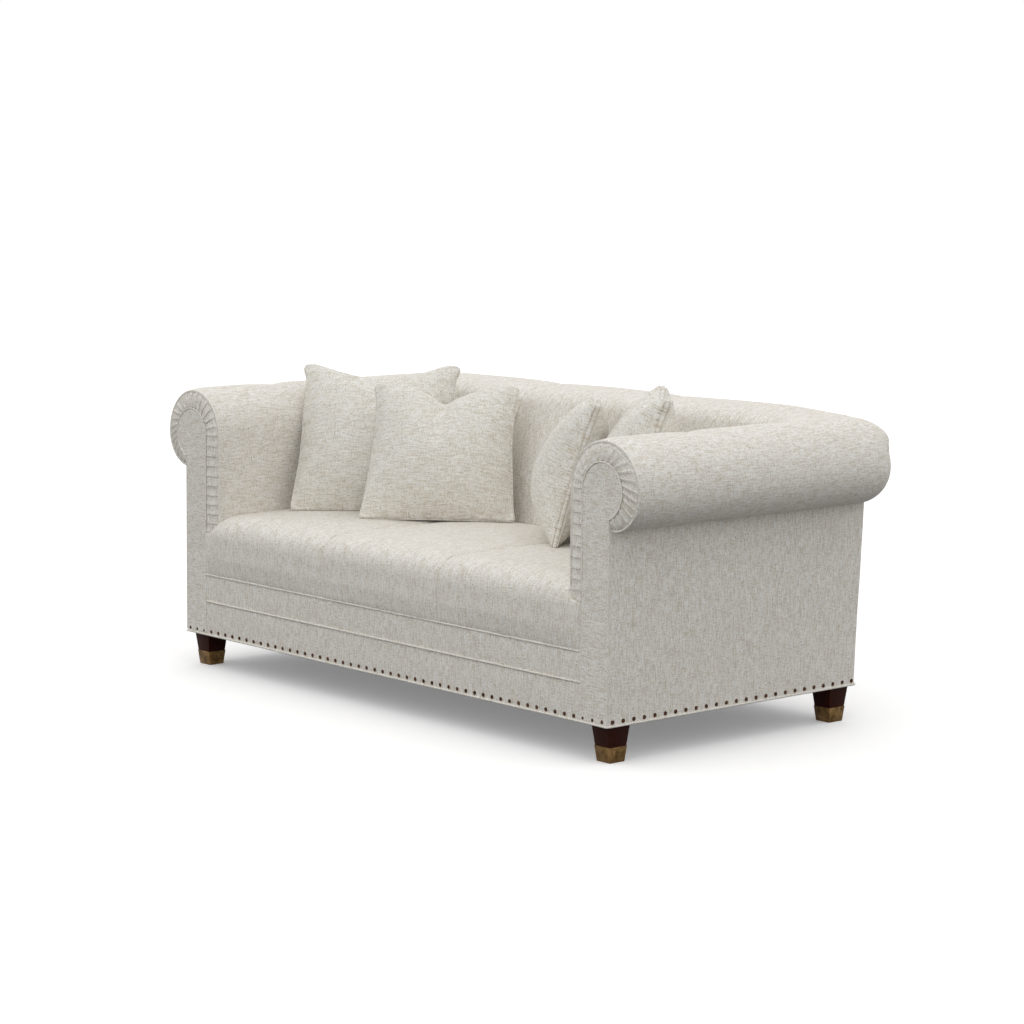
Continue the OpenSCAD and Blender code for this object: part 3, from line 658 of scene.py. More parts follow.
@dataclass(frozen=True)
class Linen:
    """Heathered linen in a basket weave, woven from slubby grey and oatmeal yarn."""

    name: str
    shade: str = "#cdc4b4"
    body: str = "#e6e2da"
    light: str = "#f3f1ee"
    speck: str = "#87765c"
    yarn: Yarn = Yarn.WEAVE
    # Real yarn is about 0.9 mm; streaks are drawn 2.6 mm wide, the least that shows from the camera
    thread: float = 2.6
    slub: float = 22.0
    cloud: float = 30.0
    fleck: float = 4.2
    # How far either side of the mean the streaks reach the shade and the light tone
    spread: float = 0.11
    # A slow change of tone along the bolt, and where flecks start, are full, and how dark they are
    drift: tuple[float, float] = (0.96, 1.04)
    fleck_at: tuple[float, float] = (1.17, 1.36)
    fleck_share: float = 0.6
    # Scale of a wave 2.4 mm long: a basket weave, coarsened from 1.8 mm to survive a close view
    weave: float = 131.0
    relief: float = 0.2
    roughness: float = 0.92

    def build(self) -> bpy.types.Material:
        """Make the cloth: crossed streaks of slub in three tones, dark flecks, a weave in relief.

        Returns:
            The material.
        """
        material, tree, shader = new_material(self.name)
        if self.yarn is Yarn.WEAVE:
            place = add_node(tree, "ShaderNodeUVMap", uv_map="weave").outputs[0]
        else:
            place = add_node(tree, "ShaderNodeTexCoord").outputs["Object"]
        fine, long = 1/(self.thread*MM), 1/(self.slub*MM)
        streaks = []
        for scale, shift in (((fine, long, fine), 0.0), ((long, fine, fine), 5.3)):
            spot = add_node(tree, "ShaderNodeMapping",
                            {"Vector": place, "Location": (shift, shift*1.7, shift),
                             "Scale": scale})
            streaks.append(add_node(tree, "ShaderNodeTexNoise",
                                    {"Vector": spot.outputs[0], "Scale": 1.0, "Detail": 2.0,
                                     "Roughness": 0.6}).outputs[0])
        cross = add_node(tree, "ShaderNodeMath", {0: streaks[0], 1: streaks[1]},
                         operation="ADD").outputs[0]
        cloud, dots = (add_node(tree, "ShaderNodeTexNoise",
                                {"Vector": place, "Scale": 1/(size*MM), "Detail": detail,
                                 "Roughness": 0.6}).outputs[0]
                       for size, detail in ((self.cloud, 3.0), (self.fleck, 0.0)))
        # Yarn: its dark threads are oatmeal, and its light ones nearly white
        mean = add_node(tree, "ShaderNodeMath", {0: cross, 1: 0.5}, operation="MULTIPLY").outputs[0]
        yarn = add_node(tree, "ShaderNodeValToRGB", {0: mean}, [
            (0.5 - self.spread, self.shade), (0.5 + self.spread, self.light),
            (0.5, self.body)]).outputs[0]
        slow = add_node(tree, "ShaderNodeMapRange",
                        {"Value": cloud, "From Min": 0.3, "From Max": 0.7,
                         "To Min": self.drift[0], "To Max": self.drift[1]}).outputs[0]
        # Flecks of darker fibre, where a thick yarn crosses
        slubs = add_node(tree, "ShaderNodeMath", {0: dots, 1: streaks[0]},
                         operation="ADD").outputs[0]
        fleck = add_node(tree, "ShaderNodeMapRange",
                         {"Value": slubs, "From Min": self.fleck_at[0],
                          "From Max": self.fleck_at[1], "To Max": self.fleck_share}).outputs[0]
        flecked = add_node(tree, "ShaderNodeMix", {0: fleck, 6: yarn, 7: linear(self.speck)},
                           data_type="RGBA").outputs[2]
        colour = add_node(tree, "ShaderNodeVectorMath", {0: flecked, "Scale": slow},
                          operation="SCALE")
        tree.links.new(colour.outputs[0], shader.inputs["Base Color"])
        # Relief: the streaks, and the knots of the basket weave
        warp, weft = (add_node(tree, "ShaderNodeTexWave",
                               {"Vector": place, "Scale": self.weave, "Distortion": 0.6,
                                "Detail": 1.0},
                               bands_direction=way).outputs[1] for way in ("X", "Y"))
        knot = add_node(tree, "ShaderNodeMath", {0: warp, 1: weft}, operation="MULTIPLY").outputs[0]
        relief = add_node(tree, "ShaderNodeMath", {0: knot, 1: 0.6, 2: cross},
                          operation="MULTIPLY_ADD")
        bump = add_node(tree, "ShaderNodeBump",
                        {"Height": relief.outputs[0], "Strength": self.relief, "Distance": 0.8*MM})
        tree.links.new(bump.outputs[0], shader.inputs["Normal"])
        shader.inputs["Roughness"].default_value = self.roughness
        shader.inputs["Specular IOR Level"].default_value = 0.2
        shader.inputs["Sheen Weight"].default_value = 0.06
        shader.inputs["Sheen Roughness"].default_value = 0.5
        return material


@dataclass(frozen=True)
class Grained:
    """Wood or wood board: streaks of grain along one axis."""

    name: str
    dark: str
    light: str
    # Streaks in a metre along each axis: fewest along the grain
    grain: tuple[float, float, float]
    roughness: float
    shine: float = 0.4

    def build(self) -> bpy.types.Material:
        """Make the wood: pores 1 mm wide that run with the grain, and broader bands of tone.

        Returns:
            The material.
        """
        material, tree, shader = new_material(self.name)
        place = add_node(tree, "ShaderNodeTexCoord").outputs["Object"]
        spot = add_node(tree, "ShaderNodeMapping", {"Vector": place, "Scale": self.grain})
        grain = add_node(tree, "ShaderNodeTexNoise",
                         {"Vector": spot.outputs[0], "Scale": 1.0, "Detail": 6.0, "Roughness": 0.6,
                          "Distortion": 0.4}).outputs[0]
        ramp = add_node(tree, "ShaderNodeValToRGB", {0: grain},
                        [(0.34, self.dark), (0.68, self.light)])
        tree.links.new(ramp.outputs[0], shader.inputs["Base Color"])
        rough = add_node(tree, "ShaderNodeMapRange",
                         {"Value": grain, "To Min": self.roughness - 0.08,
                          "To Max": self.roughness + 0.1})
        tree.links.new(rough.outputs[0], shader.inputs["Roughness"])
        bump = add_node(tree, "ShaderNodeBump",
                        {"Height": grain, "Strength": 0.25, "Distance": 0.4*MM})
        tree.links.new(bump.outputs[0], shader.inputs["Normal"])
        shader.inputs["Specular IOR Level"].default_value = self.shine
        return material


@dataclass(frozen=True)
class Metal:
    """Worked metal with a mottled patina, whose patches have a size in millimetres."""

    name: str
    dark: str
    light: str
    patch: float
    roughness: float

    def build(self) -> bpy.types.Material:
        """Make the metal: patches of patina, a little rougher where it is darker.

        Returns:
            The material.
        """
        material, tree, shader = new_material(self.name)
        place = add_node(tree, "ShaderNodeTexCoord").outputs["Object"]
        patina = add_node(tree, "ShaderNodeTexNoise",
                          {"Vector": place, "Scale": 1/(self.patch*MM), "Detail": 5.0,
                           "Roughness": 0.6}).outputs[0]
        ramp = add_node(tree, "ShaderNodeValToRGB", {0: patina},
                        [(0.35, self.dark), (0.65, self.light)])
        tree.links.new(ramp.outputs[0], shader.inputs["Base Color"])
        rough = add_node(tree, "ShaderNodeMapRange",
                         {"Value": patina, "To Min": self.roughness + 0.1,
                          "To Max": self.roughness - 0.1})
        tree.links.new(rough.outputs[0], shader.inputs["Roughness"])
        bump = add_node(tree, "ShaderNodeBump",
                        {"Height": patina, "Strength": 0.15, "Distance": 0.2*MM})
        tree.links.new(bump.outputs[0], shader.inputs["Normal"])
        shader.inputs["Metallic"].default_value = 1.0
        return material


@dataclass(frozen=True)
class Matted:
    """Foam, felt or non-woven cloth: cells or fibres with no direction."""

    name: str
    dark: str
    light: str
    cell: float
    roughness: float = 0.95

    def build(self) -> bpy.types.Material:
        """Make the stuff: cells in relief, with a slight change of tone among them.

        Returns:
            The material.
        """
        material, tree, shader = new_material(self.name)
        place = add_node(tree, "ShaderNodeTexCoord").outputs["Object"]
        cells = add_node(tree, "ShaderNodeTexVoronoi",
                         {"Vector": place, "Scale": 1/(self.cell*MM)}).outputs[0]
        ramp = add_node(tree, "ShaderNodeValToRGB", {0: cells},
                        [(0.1, self.dark), (0.7, self.light)])
        tree.links.new(ramp.outputs[0], shader.inputs["Base Color"])
        bump = add_node(tree, "ShaderNodeBump",
                        {"Height": cells, "Strength": 0.3, "Distance": 0.5*MM})
        tree.links.new(bump.outputs[0], shader.inputs["Normal"])
        shader.inputs["Roughness"].default_value = self.roughness
        shader.inputs["Specular IOR Level"].default_value = 0.2
        return material


@dataclass
class Finishes:
    """Every finish of the sofa, built once and kept under the record's slots."""

    made: dict[str, bpy.types.Material] = field(default_factory=dict)

    def build(self) -> None:
        """Build the material of each slot."""
        kinds = {
            # Upholstery linen: matt, heathered, with slubs both ways
            "linen": Linen("heathered linen"),
            # The same linen cut on the bias over cord
            "linen_trim": Linen("bias linen", shade="#dad3c6", body="#e8e5dd", light="#f1efeb",
                                yarn=Yarn.OBJECT, slub=7.0),
            # The same linen, looser over feather and fibre
            "pillow_linen": Linen("loose linen", shade="#cbc2b2", body="#e1ded6",
                                  light="#edece8"),
            # Mahogany-stained beech, oiled: nearly black, with red in its grain and little shine
            "dark_wood": Grained("stained beech", "#1e0803", "#38140a", (500.0, 500.0, 30.0), 0.5,
                                 shine=0.06),
            # Aged brass, wiped back: dull brown gold
            "antique_brass": Metal("aged brass", "#4a361c", "#7d6340", 18.0, 0.45),
            # Antique bronze nails: nearly black, mottled with brown
            "antique_nails": Metal("antique bronze", "#2a1a12", "#5a3f2e", 5.0, 0.38),
            # Spring steel, zinc plated: bright grey, a little mottled
            "steel": Metal("zinc plated steel", "#80858b", "#a4a9ae", 12.0, 0.35),
            # Kiln-dried hardwood, planed: pale, with its grain along the rails
            "timber": Grained("planed hardwood", "#b08f5f", "#d3b68a", (12.0, 300.0, 300.0), 0.7),
            # Birch plywood, sawn: pale, with the lines of its plies
            "plywood": Grained("sawn plywood", "#b8996c", "#d9c096", (40.0, 40.0, 700.0), 0.75),
            # Hardboard, bent: brown, with no direction
            "bent_board": Grained("bent hardboard", "#8d7048", "#a98a5e", (150.0, 150.0, 150.0),
                                  0.7),
            # Open-cell foam, moulded: cream, with pores drawn at 2 mm so that they show
            "foam": Matted("cushion foam", "#dccf9f", "#f1e8c8", 2.0),
            # Spunbonded lining: black, with fibres drawn at 1.6 mm so that they show
            "lining": Matted("non-woven lining", "#1f1f21", "#303033", 1.6),
        }
        for slot, kind in kinds.items():
            self.made[slot] = kind.build()

    def __getitem__(self, slot: str) -> bpy.types.Material:
        """The material of a slot."""
        return self.made[slot]


def dress(piece: bpy.types.Object, body: str, slot: str, *nodes: str,
          fill: float | None = None) -> None:
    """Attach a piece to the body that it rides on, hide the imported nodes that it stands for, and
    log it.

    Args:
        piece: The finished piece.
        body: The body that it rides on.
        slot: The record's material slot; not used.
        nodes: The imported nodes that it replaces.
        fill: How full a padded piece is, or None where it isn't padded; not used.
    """
    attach(piece, body)
    if nodes:
        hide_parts(*nodes)
    log.info("%s: %d faces, on %s, stands for %s", piece.name, len(piece.data.polygons), body,
             ", ".join(nodes) or "nothing")


# Sub-assemblies


@dataclass
class Shape:
    """Sizes that the sub-assemblies share: across the sofa (x), in depth (y, d), in height (z)."""

    arm_in: float = 759.0
    arm_out: float = 910.0
    strip_in: float = 810.0
    roll_x: float = 885.0
    roll_y: float = 848.0
    roll_z: float = 673.0
    roll_r: float = 126.0
    under_x: float = 916.0
    under_y: float = 879.0
    under_r: float = 95.0
    facing_x: float = 883.0
    facing_z: float = 672.0
    facing_r: float = 119.0
    head_x: float = 883.0
    head_z: float = 673.0
    head_r: float = 73.0
    seam_x: float = 253.0
    seat_z: float = 440.0
    seat_d: float = 590.0
    border_z: float = 275.0
    piping_z: float = 195.0
    base_z: float = 95.0
    band_z: float = 395.0
    base_d: float = 875.0
    # Top of the outside back under the roll, and how far it leans back by there
    back_z: float = 578.0
    back_lean: float = 31.0
    # Top of the outside panels, hidden in the rolls, and the radius of their rear corners
    panel_z: float = 600.0
    corner_r: float = 15.0

    def rear_face(self, z: float) -> float:
        """Depth of the outside back at a height."""
        return self.base_d + self.back_lean*(z - self.base_z)/(self.back_z - self.base_z)

    def rear_corner(self, z: float, start: float, end: float) -> np.ndarray:
        """Part of the rounded corner between an outside arm and the outside back, in X and Y."""
        middle = (self.arm_out - self.corner_r - 1, self.rear_face(z) - self.corner_r)
        return arc(middle, self.corner_r, start, end, 7)


def crown(t: np.ndarray) -> np.ndarray:
    """Rise of cloth between two seams: a broad crown, and a tight roll down into the seam."""
    far = np.abs(2*t - 1)
    return 0.48*(1 - far**2.6) + 0.27*(1 - far**16) + 0.25*(1 - far**70)


def pinch(off: np.ndarray | float, height: np.ndarray) -> np.ndarray:
    """Depth in millimetres to which stitches draw a seam in, at a distance from it and a height."""
    deepest, reach, nose_z = 6.5, 4.5, 372.0
    return deepest*np.exp(-np.abs(off)/reach)*(0.4 + 0.6*smooth((height - nose_z)/30))


@dataclass(frozen=True)
class Gathers:
    """Small gathers beside a seam: a long and a short wave along it, which die out across it."""

    rise: float
    long: float
    short: float
    share: float
    sway: float
    slow: float
    reach: float

    def at(self, along: np.ndarray, off: np.ndarray | float, seam: int) -> np.ndarray:
        """Rise of the cloth beside a seam.

        Args:
            along: Distance along the seam.
            off: Distance from it.
            seam: The seam's number, which shifts the waves.

        Returns:
            The rise in millimetres.
        """
        wave = (np.sin(along*2*math.pi/self.long + seam*2 + self.sway*np.sin(along/self.slow))
                + self.share*np.sin(along*2*math.pi/self.short + seam))
        return self.rise*wave*np.exp(-off/self.reach)*(1 - np.exp(-off/5))


@dataclass
class ArmCovers:
    """Covers of the arms, each one sheet round the roll and its rear corner, and their outsides."""

    shape: Shape
    cloth: bpy.types.Material
    front_y: float = 13.0
    front_r: float = 121.5
    puff: float = 45.0
    channel_y: float = 295.0
    # Points of the section up the inside, over the roll and under it, and the number of the topmost
    counts: tuple[int, int, int] = (14, 97, 24)
    top: int = 61
    # How far the rear corner is drawn in, and its two darts: heights, depth, half width
    pull: float = 9.0
    darts: tuple[float, float] = (731.0, 630.0)
    dart_d: float = 11.0
    dart_w: float = 5.5

    def section(self, x: float, z: float, r: float, under_x: float, under_r: float) -> np.ndarray:
        """Section of the cover from the seat up the inside, over the roll and under it, in X and Z.

        Args:
            x: Middle of the roll.
            z: Height of the middle.
            r: Radius of the roll.
            under_x: Middle of the under side.
            under_r: Radius of the under side.

        Returns:
            Points of shape (n, 2), the same count for any sizes, with the roll's top at number top.
        """
        up, round_, down = self.counts
        web = np.stack([np.full(up, x - r), np.linspace(self.shape.band_z - 2, z, up)], 1)[:-1]
        over = arc((x, z), r, 180, 0, round_)[:-1]
        under = arc((under_x, z), under_r, 0, -94, down)
        return np.concatenate([web, over, under])

    def stuffing(self, y: np.ndarray) -> np.ndarray:
        """How far the stuffed roll stands out from its plain section, with its sewn channel."""
        depths = [14, 20, 30, 45, 62, 190, 250, 280, self.channel_y, 312, 335, 360, 520, 700, 848]
        rises = [-0.4, 0.5, 1.2, 2.2, 3.3, 3.3, 1.6, -0.8, -2.6, -0.9, 1.7, 2.4, 2.4, 1.6, 1.0]
        return np.interp(y, depths, rises)

    def cover(self, side: Side) -> bpy.types.Object:
        """Build the cover of one arm: its front edge, the roll, and the rear corner.

        Args:
            side: Which arm.

        Returns:
            The cover.
        """
        s, y0 = self.shape, self.front_y
        roll = self.section(s.roll_x, s.roll_z, s.roll_r, s.under_x, s.under_r)
        middle = np.array([s.facing_x, s.facing_z])
        front = self.section(*middle, self.front_r, s.arm_out,
                             self.front_r - s.arm_out + s.facing_x)
        # The cloth is drawn in behind the welt, and comes round its own edge
        rows = [at_depth(middle + (front - middle)*(1 - inset/self.front_r), y0 + back)
                for inset, back in ((14.0, 3.0), (2.6, 0.6), (1.0, 0.0))]
        edge_rows = len(rows)
        start = y0 + 1
        runs = ((start + self.puff, 270, 26), (270, 320, 26), (320, s.roll_y, 62))
        for y in np.concatenate([start + self.puff*(1 - np.cos(np.linspace(0, math.pi/2, 14)))]
                                + [np.linspace(*run)[1:] for run in runs]):
            q = np.clip((y - start)/self.puff, 0, 1)
            rows.append(at_depth(front + (roll - front)*math.sqrt(max(0.0, 1 - (1 - q)**2)), y))
        plain = np.array(rows)
        # How much of the stuffing shows round the section: none at the seat, all of it over the top
        share = np.interp(np.arange(len(roll)), [0, 6, 23, 109, 120, 132],
                          [0, 0.1, 0.8, 1.0, 0.8, 0.3])
        full = (self.stuffing(plain[:, :, 1])*share
                + soft_waves(plain, 0.6, 150, 4)*np.minimum(1, share*2))
        full[:edge_rows] = 0
        grid = plain - grid_normals(plain)*full[..., None]*np.clip((plain[:, :, 1:2] - y0)/8, 0, 1)
        grid[:, :, 1] = plain[:, :, 1]
        corner = self.corner(grid[-1, self.top:])
        flat = cloth_uv(grid)
        along = np.radians(np.linspace(0, 90, len(corner)))[:, None]*100*MM
        bent = np.stack([flat[-1, 0, 0] + np.broadcast_to(along, corner.shape[:2]),
                         np.broadcast_to(flat[-1, self.top:, 1], corner.shape[:2])], 2)
        left = side is Side.LEFT
        grids = [face_out(g, left) for g in (grid, corner)]
        return shell(f"{side.word}_arm_linen", grids, self.cloth,
                     uvs=[u if left else u[:, ::-1] for u in (flat, bent)])

    def corner(self, end: np.ndarray) -> np.ndarray:
        """Turn the end of the roll about the crossing of the two roll axes, into the back's roll.

        Args:
            end: The roll's last row, from its top round its outer half.

        Returns:
            Rows of the corner, with two short darts pressed into its outer face.
        """
        s = self.shape
        half = end[:, [0, 2]] - [s.roll_x, 0]
        # It is drawn flatter round its middle and fuller on top
        drawn = self.pull/s.roll_r*(1 - 2.8*smooth((half[:, 1] - s.roll_z - 30)/65))
        turn = np.linspace(0, 90, 46)
        rows = []
        for a in np.radians(turn):
            rho = half[:, 0]*(1 - drawn*math.sin(2*a)**2)
            rows.append(np.column_stack([s.roll_x + rho*math.cos(a), s.roll_y + rho*math.sin(a),
                                         half[:, 1]]))
        corner = np.array(rows)
        out = corner - np.array([s.roll_x, s.roll_y, s.roll_z])
        out[:, :, 2] *= 0.6
        out /= np.maximum(np.linalg.norm(out, axis=2, keepdims=True), 1e-6)
        held = smooth((turn - 34)/6)*(1 - smooth((turn - 60)/16))
        dent = sum(np.maximum(0, 1 - np.abs(corner[:, :, 2] - height)/self.dart_w)
                   for height in self.darts)
        corner -= out*(self.dart_d*dent*held[:, None])[..., None]
        corner[0] = end
        return corner

    def panel(self, side: Side) -> bpy.types.Object:
        """Build the outside panel of one arm, rounded into the outside back.

        Args:
            side: Which arm.

        Returns:
            The panel.
        """
        s = self.shape
        rows = []
        for z in np.linspace(s.base_z + 1, s.panel_z, 40):
            corner = s.rear_corner(z, 0, 42)
            flat = np.linspace(6, corner[0, 1], 60)
            puffed = 1.2*(1 - np.abs(2*(flat - 6)/(corner[0, 1] - 6) - 1)**12)
            line = np.concatenate([[[s.arm_out - 4, 2.0], [s.arm_out - 2, 3.5]],
                                   np.column_stack([s.arm_out - 1.0 + puffed, flat]), corner[1:]])
            rows.append(at_height(line, z))
        grid = np.array(rows)
        grid[:, :, 0] += soft_waves(grid, 0.5, 210, 9)
        return shell(f"{side.word}_outside_linen", [face_out(grid, side is Side.LEFT)], self.cloth)

    def build(self) -> None:
        """Build and dress both arms."""
        for side in Side:
            word = side.word
            dress(self.cover(side), "sofa", "linen", f"{word}_arm_cover", f"{word}_arm_foam",
                  fill=0.9)
            dress(self.panel(side), "sofa", "linen", f"{word}_outside_arm")


@dataclass
class ArmFronts:
    """Fronts of the arms: plain panel, shingled pleats round it, and the cords of their seams."""

    shape: Shape
    cloth: bpy.types.Material
    trim: bpy.types.Material
    cords: bpy.types.NodeTree
    pleats: bpy.types.NodeTree
    rows_up: int = 10
    rows_round: int = 20
    turn: float = 270.0
    corner_r: float = 30.0
    step: float = 3.4
    overlap: float = 2.2
    groove: float = 1.0
    welt_d: float = 5.5
    cord_d: float = 4.4
    edge_d: float = 3.4

    @staticmethod
    def lean(z: np.ndarray | float) -> np.ndarray | float:
        """How far the padded front falls back at a height."""
        return 5.0*(z - 100.0)/450.0

    def panel(self, side: Side) -> bpy.types.Object:
        """Build the plain keyhole panel, a little fuller than its seams.

        Args:
            side: Which arm.

        Returns:
            The panel.
        """
        s = self.shape
        low = s.head_z - math.sqrt(s.head_r**2 - (s.arm_out - s.head_x)**2)
        heights = np.concatenate([np.linspace(s.base_z + 1, low, 60)[:-1],
                                  np.linspace(low, s.head_z, 12)[:-1],
                                  s.head_z + s.head_r*np.sin(np.linspace(0, math.pi/2, 26))])
        rows = []
        for z in heights:
            wide = math.sqrt(max(0.0, s.head_r**2 - (z - s.head_z)**2))
            left = s.strip_in if z <= s.head_z else s.head_x - wide
            right = s.arm_out if z <= low else s.head_x + wide
            x = packed(left, right, 27)
            inner, outer = x - left, right - x
            if z > s.head_z:
                inner = outer = np.maximum(0, s.head_r - np.hypot(x - s.head_x, z - s.head_z))
            # Its edge turns in beside the cords, and lies flush with the border below the pleats
            turned = np.maximum(np.exp(-outer/4), np.exp(-inner/4)*smooth((z - s.band_z + 8)/12))
            y = 2.3*turned - 2.5 + self.lean(z)
            rows.append(at_height(np.column_stack([x, y]), z))
        grid = np.array(rows)
        grid[:, :, 1] += soft_waves(grid, 0.4, 120, 3)
        grid = face_out(grid, side is Side.LEFT)
        return shell(f"{side.word}_front_panel", [grid], self.cloth, uvs=[grid[:, :, [0, 2]]*MM])

    def band_lines(self) -> tuple[np.ndarray, np.ndarray, np.ndarray]:
        """Outer and inner edge of the pleated band and its count of pleats, along its run.

        Returns:
            Outer points, inner points, both in X and Z, and the count of pleats at each.
        """
        s = self.shape
        # Where the points of one leaf lie, closest at its fold and at the gap before the next
        share = np.array([0.0, 0.015, 0.035, 0.06, 0.1, 0.2, 0.32, 0.46, 0.62, 0.76, 0.86, 0.9,
                          0.93, 0.97, 0.995])
        outer, inner = [], []
        # The lowest pleats lie a little closer, as they do on the real one
        steps = np.linspace(0.93, 1.07, self.rows_up)
        edges = s.band_z + (s.facing_z - s.band_z)*np.concatenate(
            [[0], np.cumsum(steps)/np.sum(steps)])
        for k in range(self.rows_up):
            for z in edges[k] + (edges[k + 1] - edges[k])*share:
                cut = max(0.0, s.band_z + self.corner_r - z)
                drawn = self.corner_r - math.sqrt(self.corner_r**2 - cut**2)
                outer.append([s.facing_x - s.facing_r + drawn, z])
                inner.append([s.strip_in, z])
        under = s.facing_r - (s.arm_out - s.facing_x)
        inner_down = math.degrees(math.acos((s.arm_out - s.head_x)/s.head_r))
        total = self.rows_up + self.rows_round
        round_head = [(k + share)/self.rows_round for k in range(self.rows_round)]
        for f in np.concatenate([*round_head, [1.0]]):
            a = math.radians(180 - f*self.turn)
            b = math.radians(180 - f*(180 + inner_down))
            x, r = (s.facing_x, s.facing_r) if a >= 0 else (s.arm_out, under)
            outer.append([x + r*math.cos(a), s.facing_z + r*math.sin(a)])
            inner.append([s.head_x + s.head_r*math.cos(b), s.head_z + s.head_r*math.sin(b)])
        count = np.concatenate([k + share for k in range(total)] + [[total - 0.001]])
        return np.array(outer), np.array(inner), count

    def band(self, side: Side) -> bpy.types.Object:
        """Build the pleated band: a padded flat band, folded by the pleat tree.

        Args:
            side: Which arm.

        Returns:
            The band.
        """
        outer, inner, count = self.band_lines()
        across = packed(0, 1, 21)
        t = across[None, :, None]
        plan = inner[:, None]*(1 - t) + outer[:, None]*t
        # The band lies flush with the panel and falls back towards the welt
        y = 0.4 - 1.2*np.sin(math.pi*across)**0.6 + 8.3*across**2.4 + self.lean(plan[:, :, 1])
        grid = np.stack([plan[:, :, 0]*side.value, y, plan[:, :, 1]], 2)
        middle = (inner + outer)/2
        run = np.gradient(middle, axis=0)
        run /= np.linalg.norm(run, axis=1, keepdims=True)
        hold = smooth(across/0.06)*(1 - smooth((across - 0.92)/0.08))
        width = np.linalg.norm(outer - inner, axis=1)
        flat = np.stack([np.broadcast_to(lengths(middle)[:, None], plan.shape[:2]),
                         across*width[:, None]], 2)*MM
        if side is Side.LEFT:
            grid, flat, hold = grid[:, ::-1], flat[:, ::-1], hold[::-1]
        piece = shell(f"{side.word}_pleats", [grid], self.cloth, uvs=[flat])
        self.mark(piece, side, grid, count, hold, run)
        run_tree(piece, self.pleats, Step=self.step*MM, Overlap=self.overlap*MM,
                 Groove=self.groove*MM, Material=self.cloth)
        piece.data.set_sharp_from_angle(angle=math.radians(40))
        return piece

    @staticmethod
    def mark(piece: bpy.types.Object, side: Side, grid: np.ndarray, count: np.ndarray,
             hold: np.ndarray, run: np.ndarray) -> None:
        """Write each point's count of pleats, hold and direction of run on the flat band.

        Args:
            piece: The flat band.
            side: Which arm.
            grid: Its grid of points before they were merged.
            count: Count of pleats of each row.
            hold: How strongly the folds stand in each column.
            run: Direction of the band at each row, in X and Z.
        """
        rows, cols = grid.shape[:2]
        tree = KDTree(rows*cols)
        for k, p in enumerate(to_frame(grid.reshape(-1, 3))):
            tree.insert(p, k)
        tree.balance()
        near = np.array([tree.find(v.co)[1] for v in piece.data.vertices])
        row, col = near//cols, near % cols
        # The folds lie flatter up the straight run than round the head
        stand = hold[col]*np.interp(count[row], [0, 10, 16, 30], [0.6, 0.6, 0.8, 1.0])
        way = at_depth(run[row]*[side.value, 1], 0)
        for name, kind, key, values in (("pleats", "FLOAT", "value", count[row]),
                                        ("hold", "FLOAT", "value", stand),
                                        ("run", "FLOAT_VECTOR", "vector", way)):
            marks = piece.data.attributes.new(name, kind, "POINT")
            marks.data.foreach_set(key, values.astype(np.float32).ravel())

    def welts(self, side: Side) -> bpy.types.Object:
        """Build the welt round the arm front and the fine cords of the plain panel.

        Args:
            side: Which arm.

        Returns:
            All the cords, as one piece.
        """
        s = self.shape
        r = s.facing_r + 0.3 + self.welt_d/2
        x, foot = s.facing_x - r, self.corner_r + self.welt_d/2
        outer = np.concatenate([[[s.strip_in + 0.5, s.band_z - self.welt_d/2 + 0.4]],
                                arc((x + foot, s.band_z + self.corner_r), foot, 268, 180, 12),
                                [[x, z] for z in np.linspace(s.band_z + 40, s.facing_z - 8, 12)],
                                arc((s.facing_x, s.facing_z), r, 180, 0, 48),
                                arc((s.arm_out, s.facing_z), r - (s.arm_out - s.facing_x), -2, -90,
                                    22)])
        low = math.degrees(math.acos((s.arm_out - s.head_x)/s.head_r))
        cord_r = s.head_r - 1.5
        inner = np.concatenate([[[s.strip_in + 1.5, z]
                                 for z in np.linspace(s.border_z + 4, s.head_z - 4, 22)],
                                arc((s.head_x, s.head_z), cord_r, 180, -low, 52)])
        edge = np.array([[s.arm_out - 1.5, z]
                         for z in np.linspace(s.panel_z + 2, s.base_z + 8, 30)])
        parts = []
        for line, depth, size in ((outer, 8.6, self.welt_d), (inner, -1.9, self.cord_d),
                                  (edge, -1.2, self.edge_d)):
            points = at_depth(line*[side.value, 1], depth + self.lean(line[:, 1]))
            parts.append(run_tree(path_object("wire", [points]), self.cords, Diameter=size*MM,
                                  Spacing=3.0*MM, Sides=CORD_SIDES, Material=self.trim))
        return join(f"{side.word}_front_cords", parts)

    def build(self) -> None:
        """Build and dress both arm fronts."""
        for side in Side:
            word = side.word
            dress(self.panel(side), "sofa", "linen", f"{word}_arm_facing")
            dress(self.band(side), "sofa", "linen", f"{word}_pleated_band", fill=0.6)
            dress(self.welts(side), "sofa", "linen_trim", f"{word}_arm_welt")


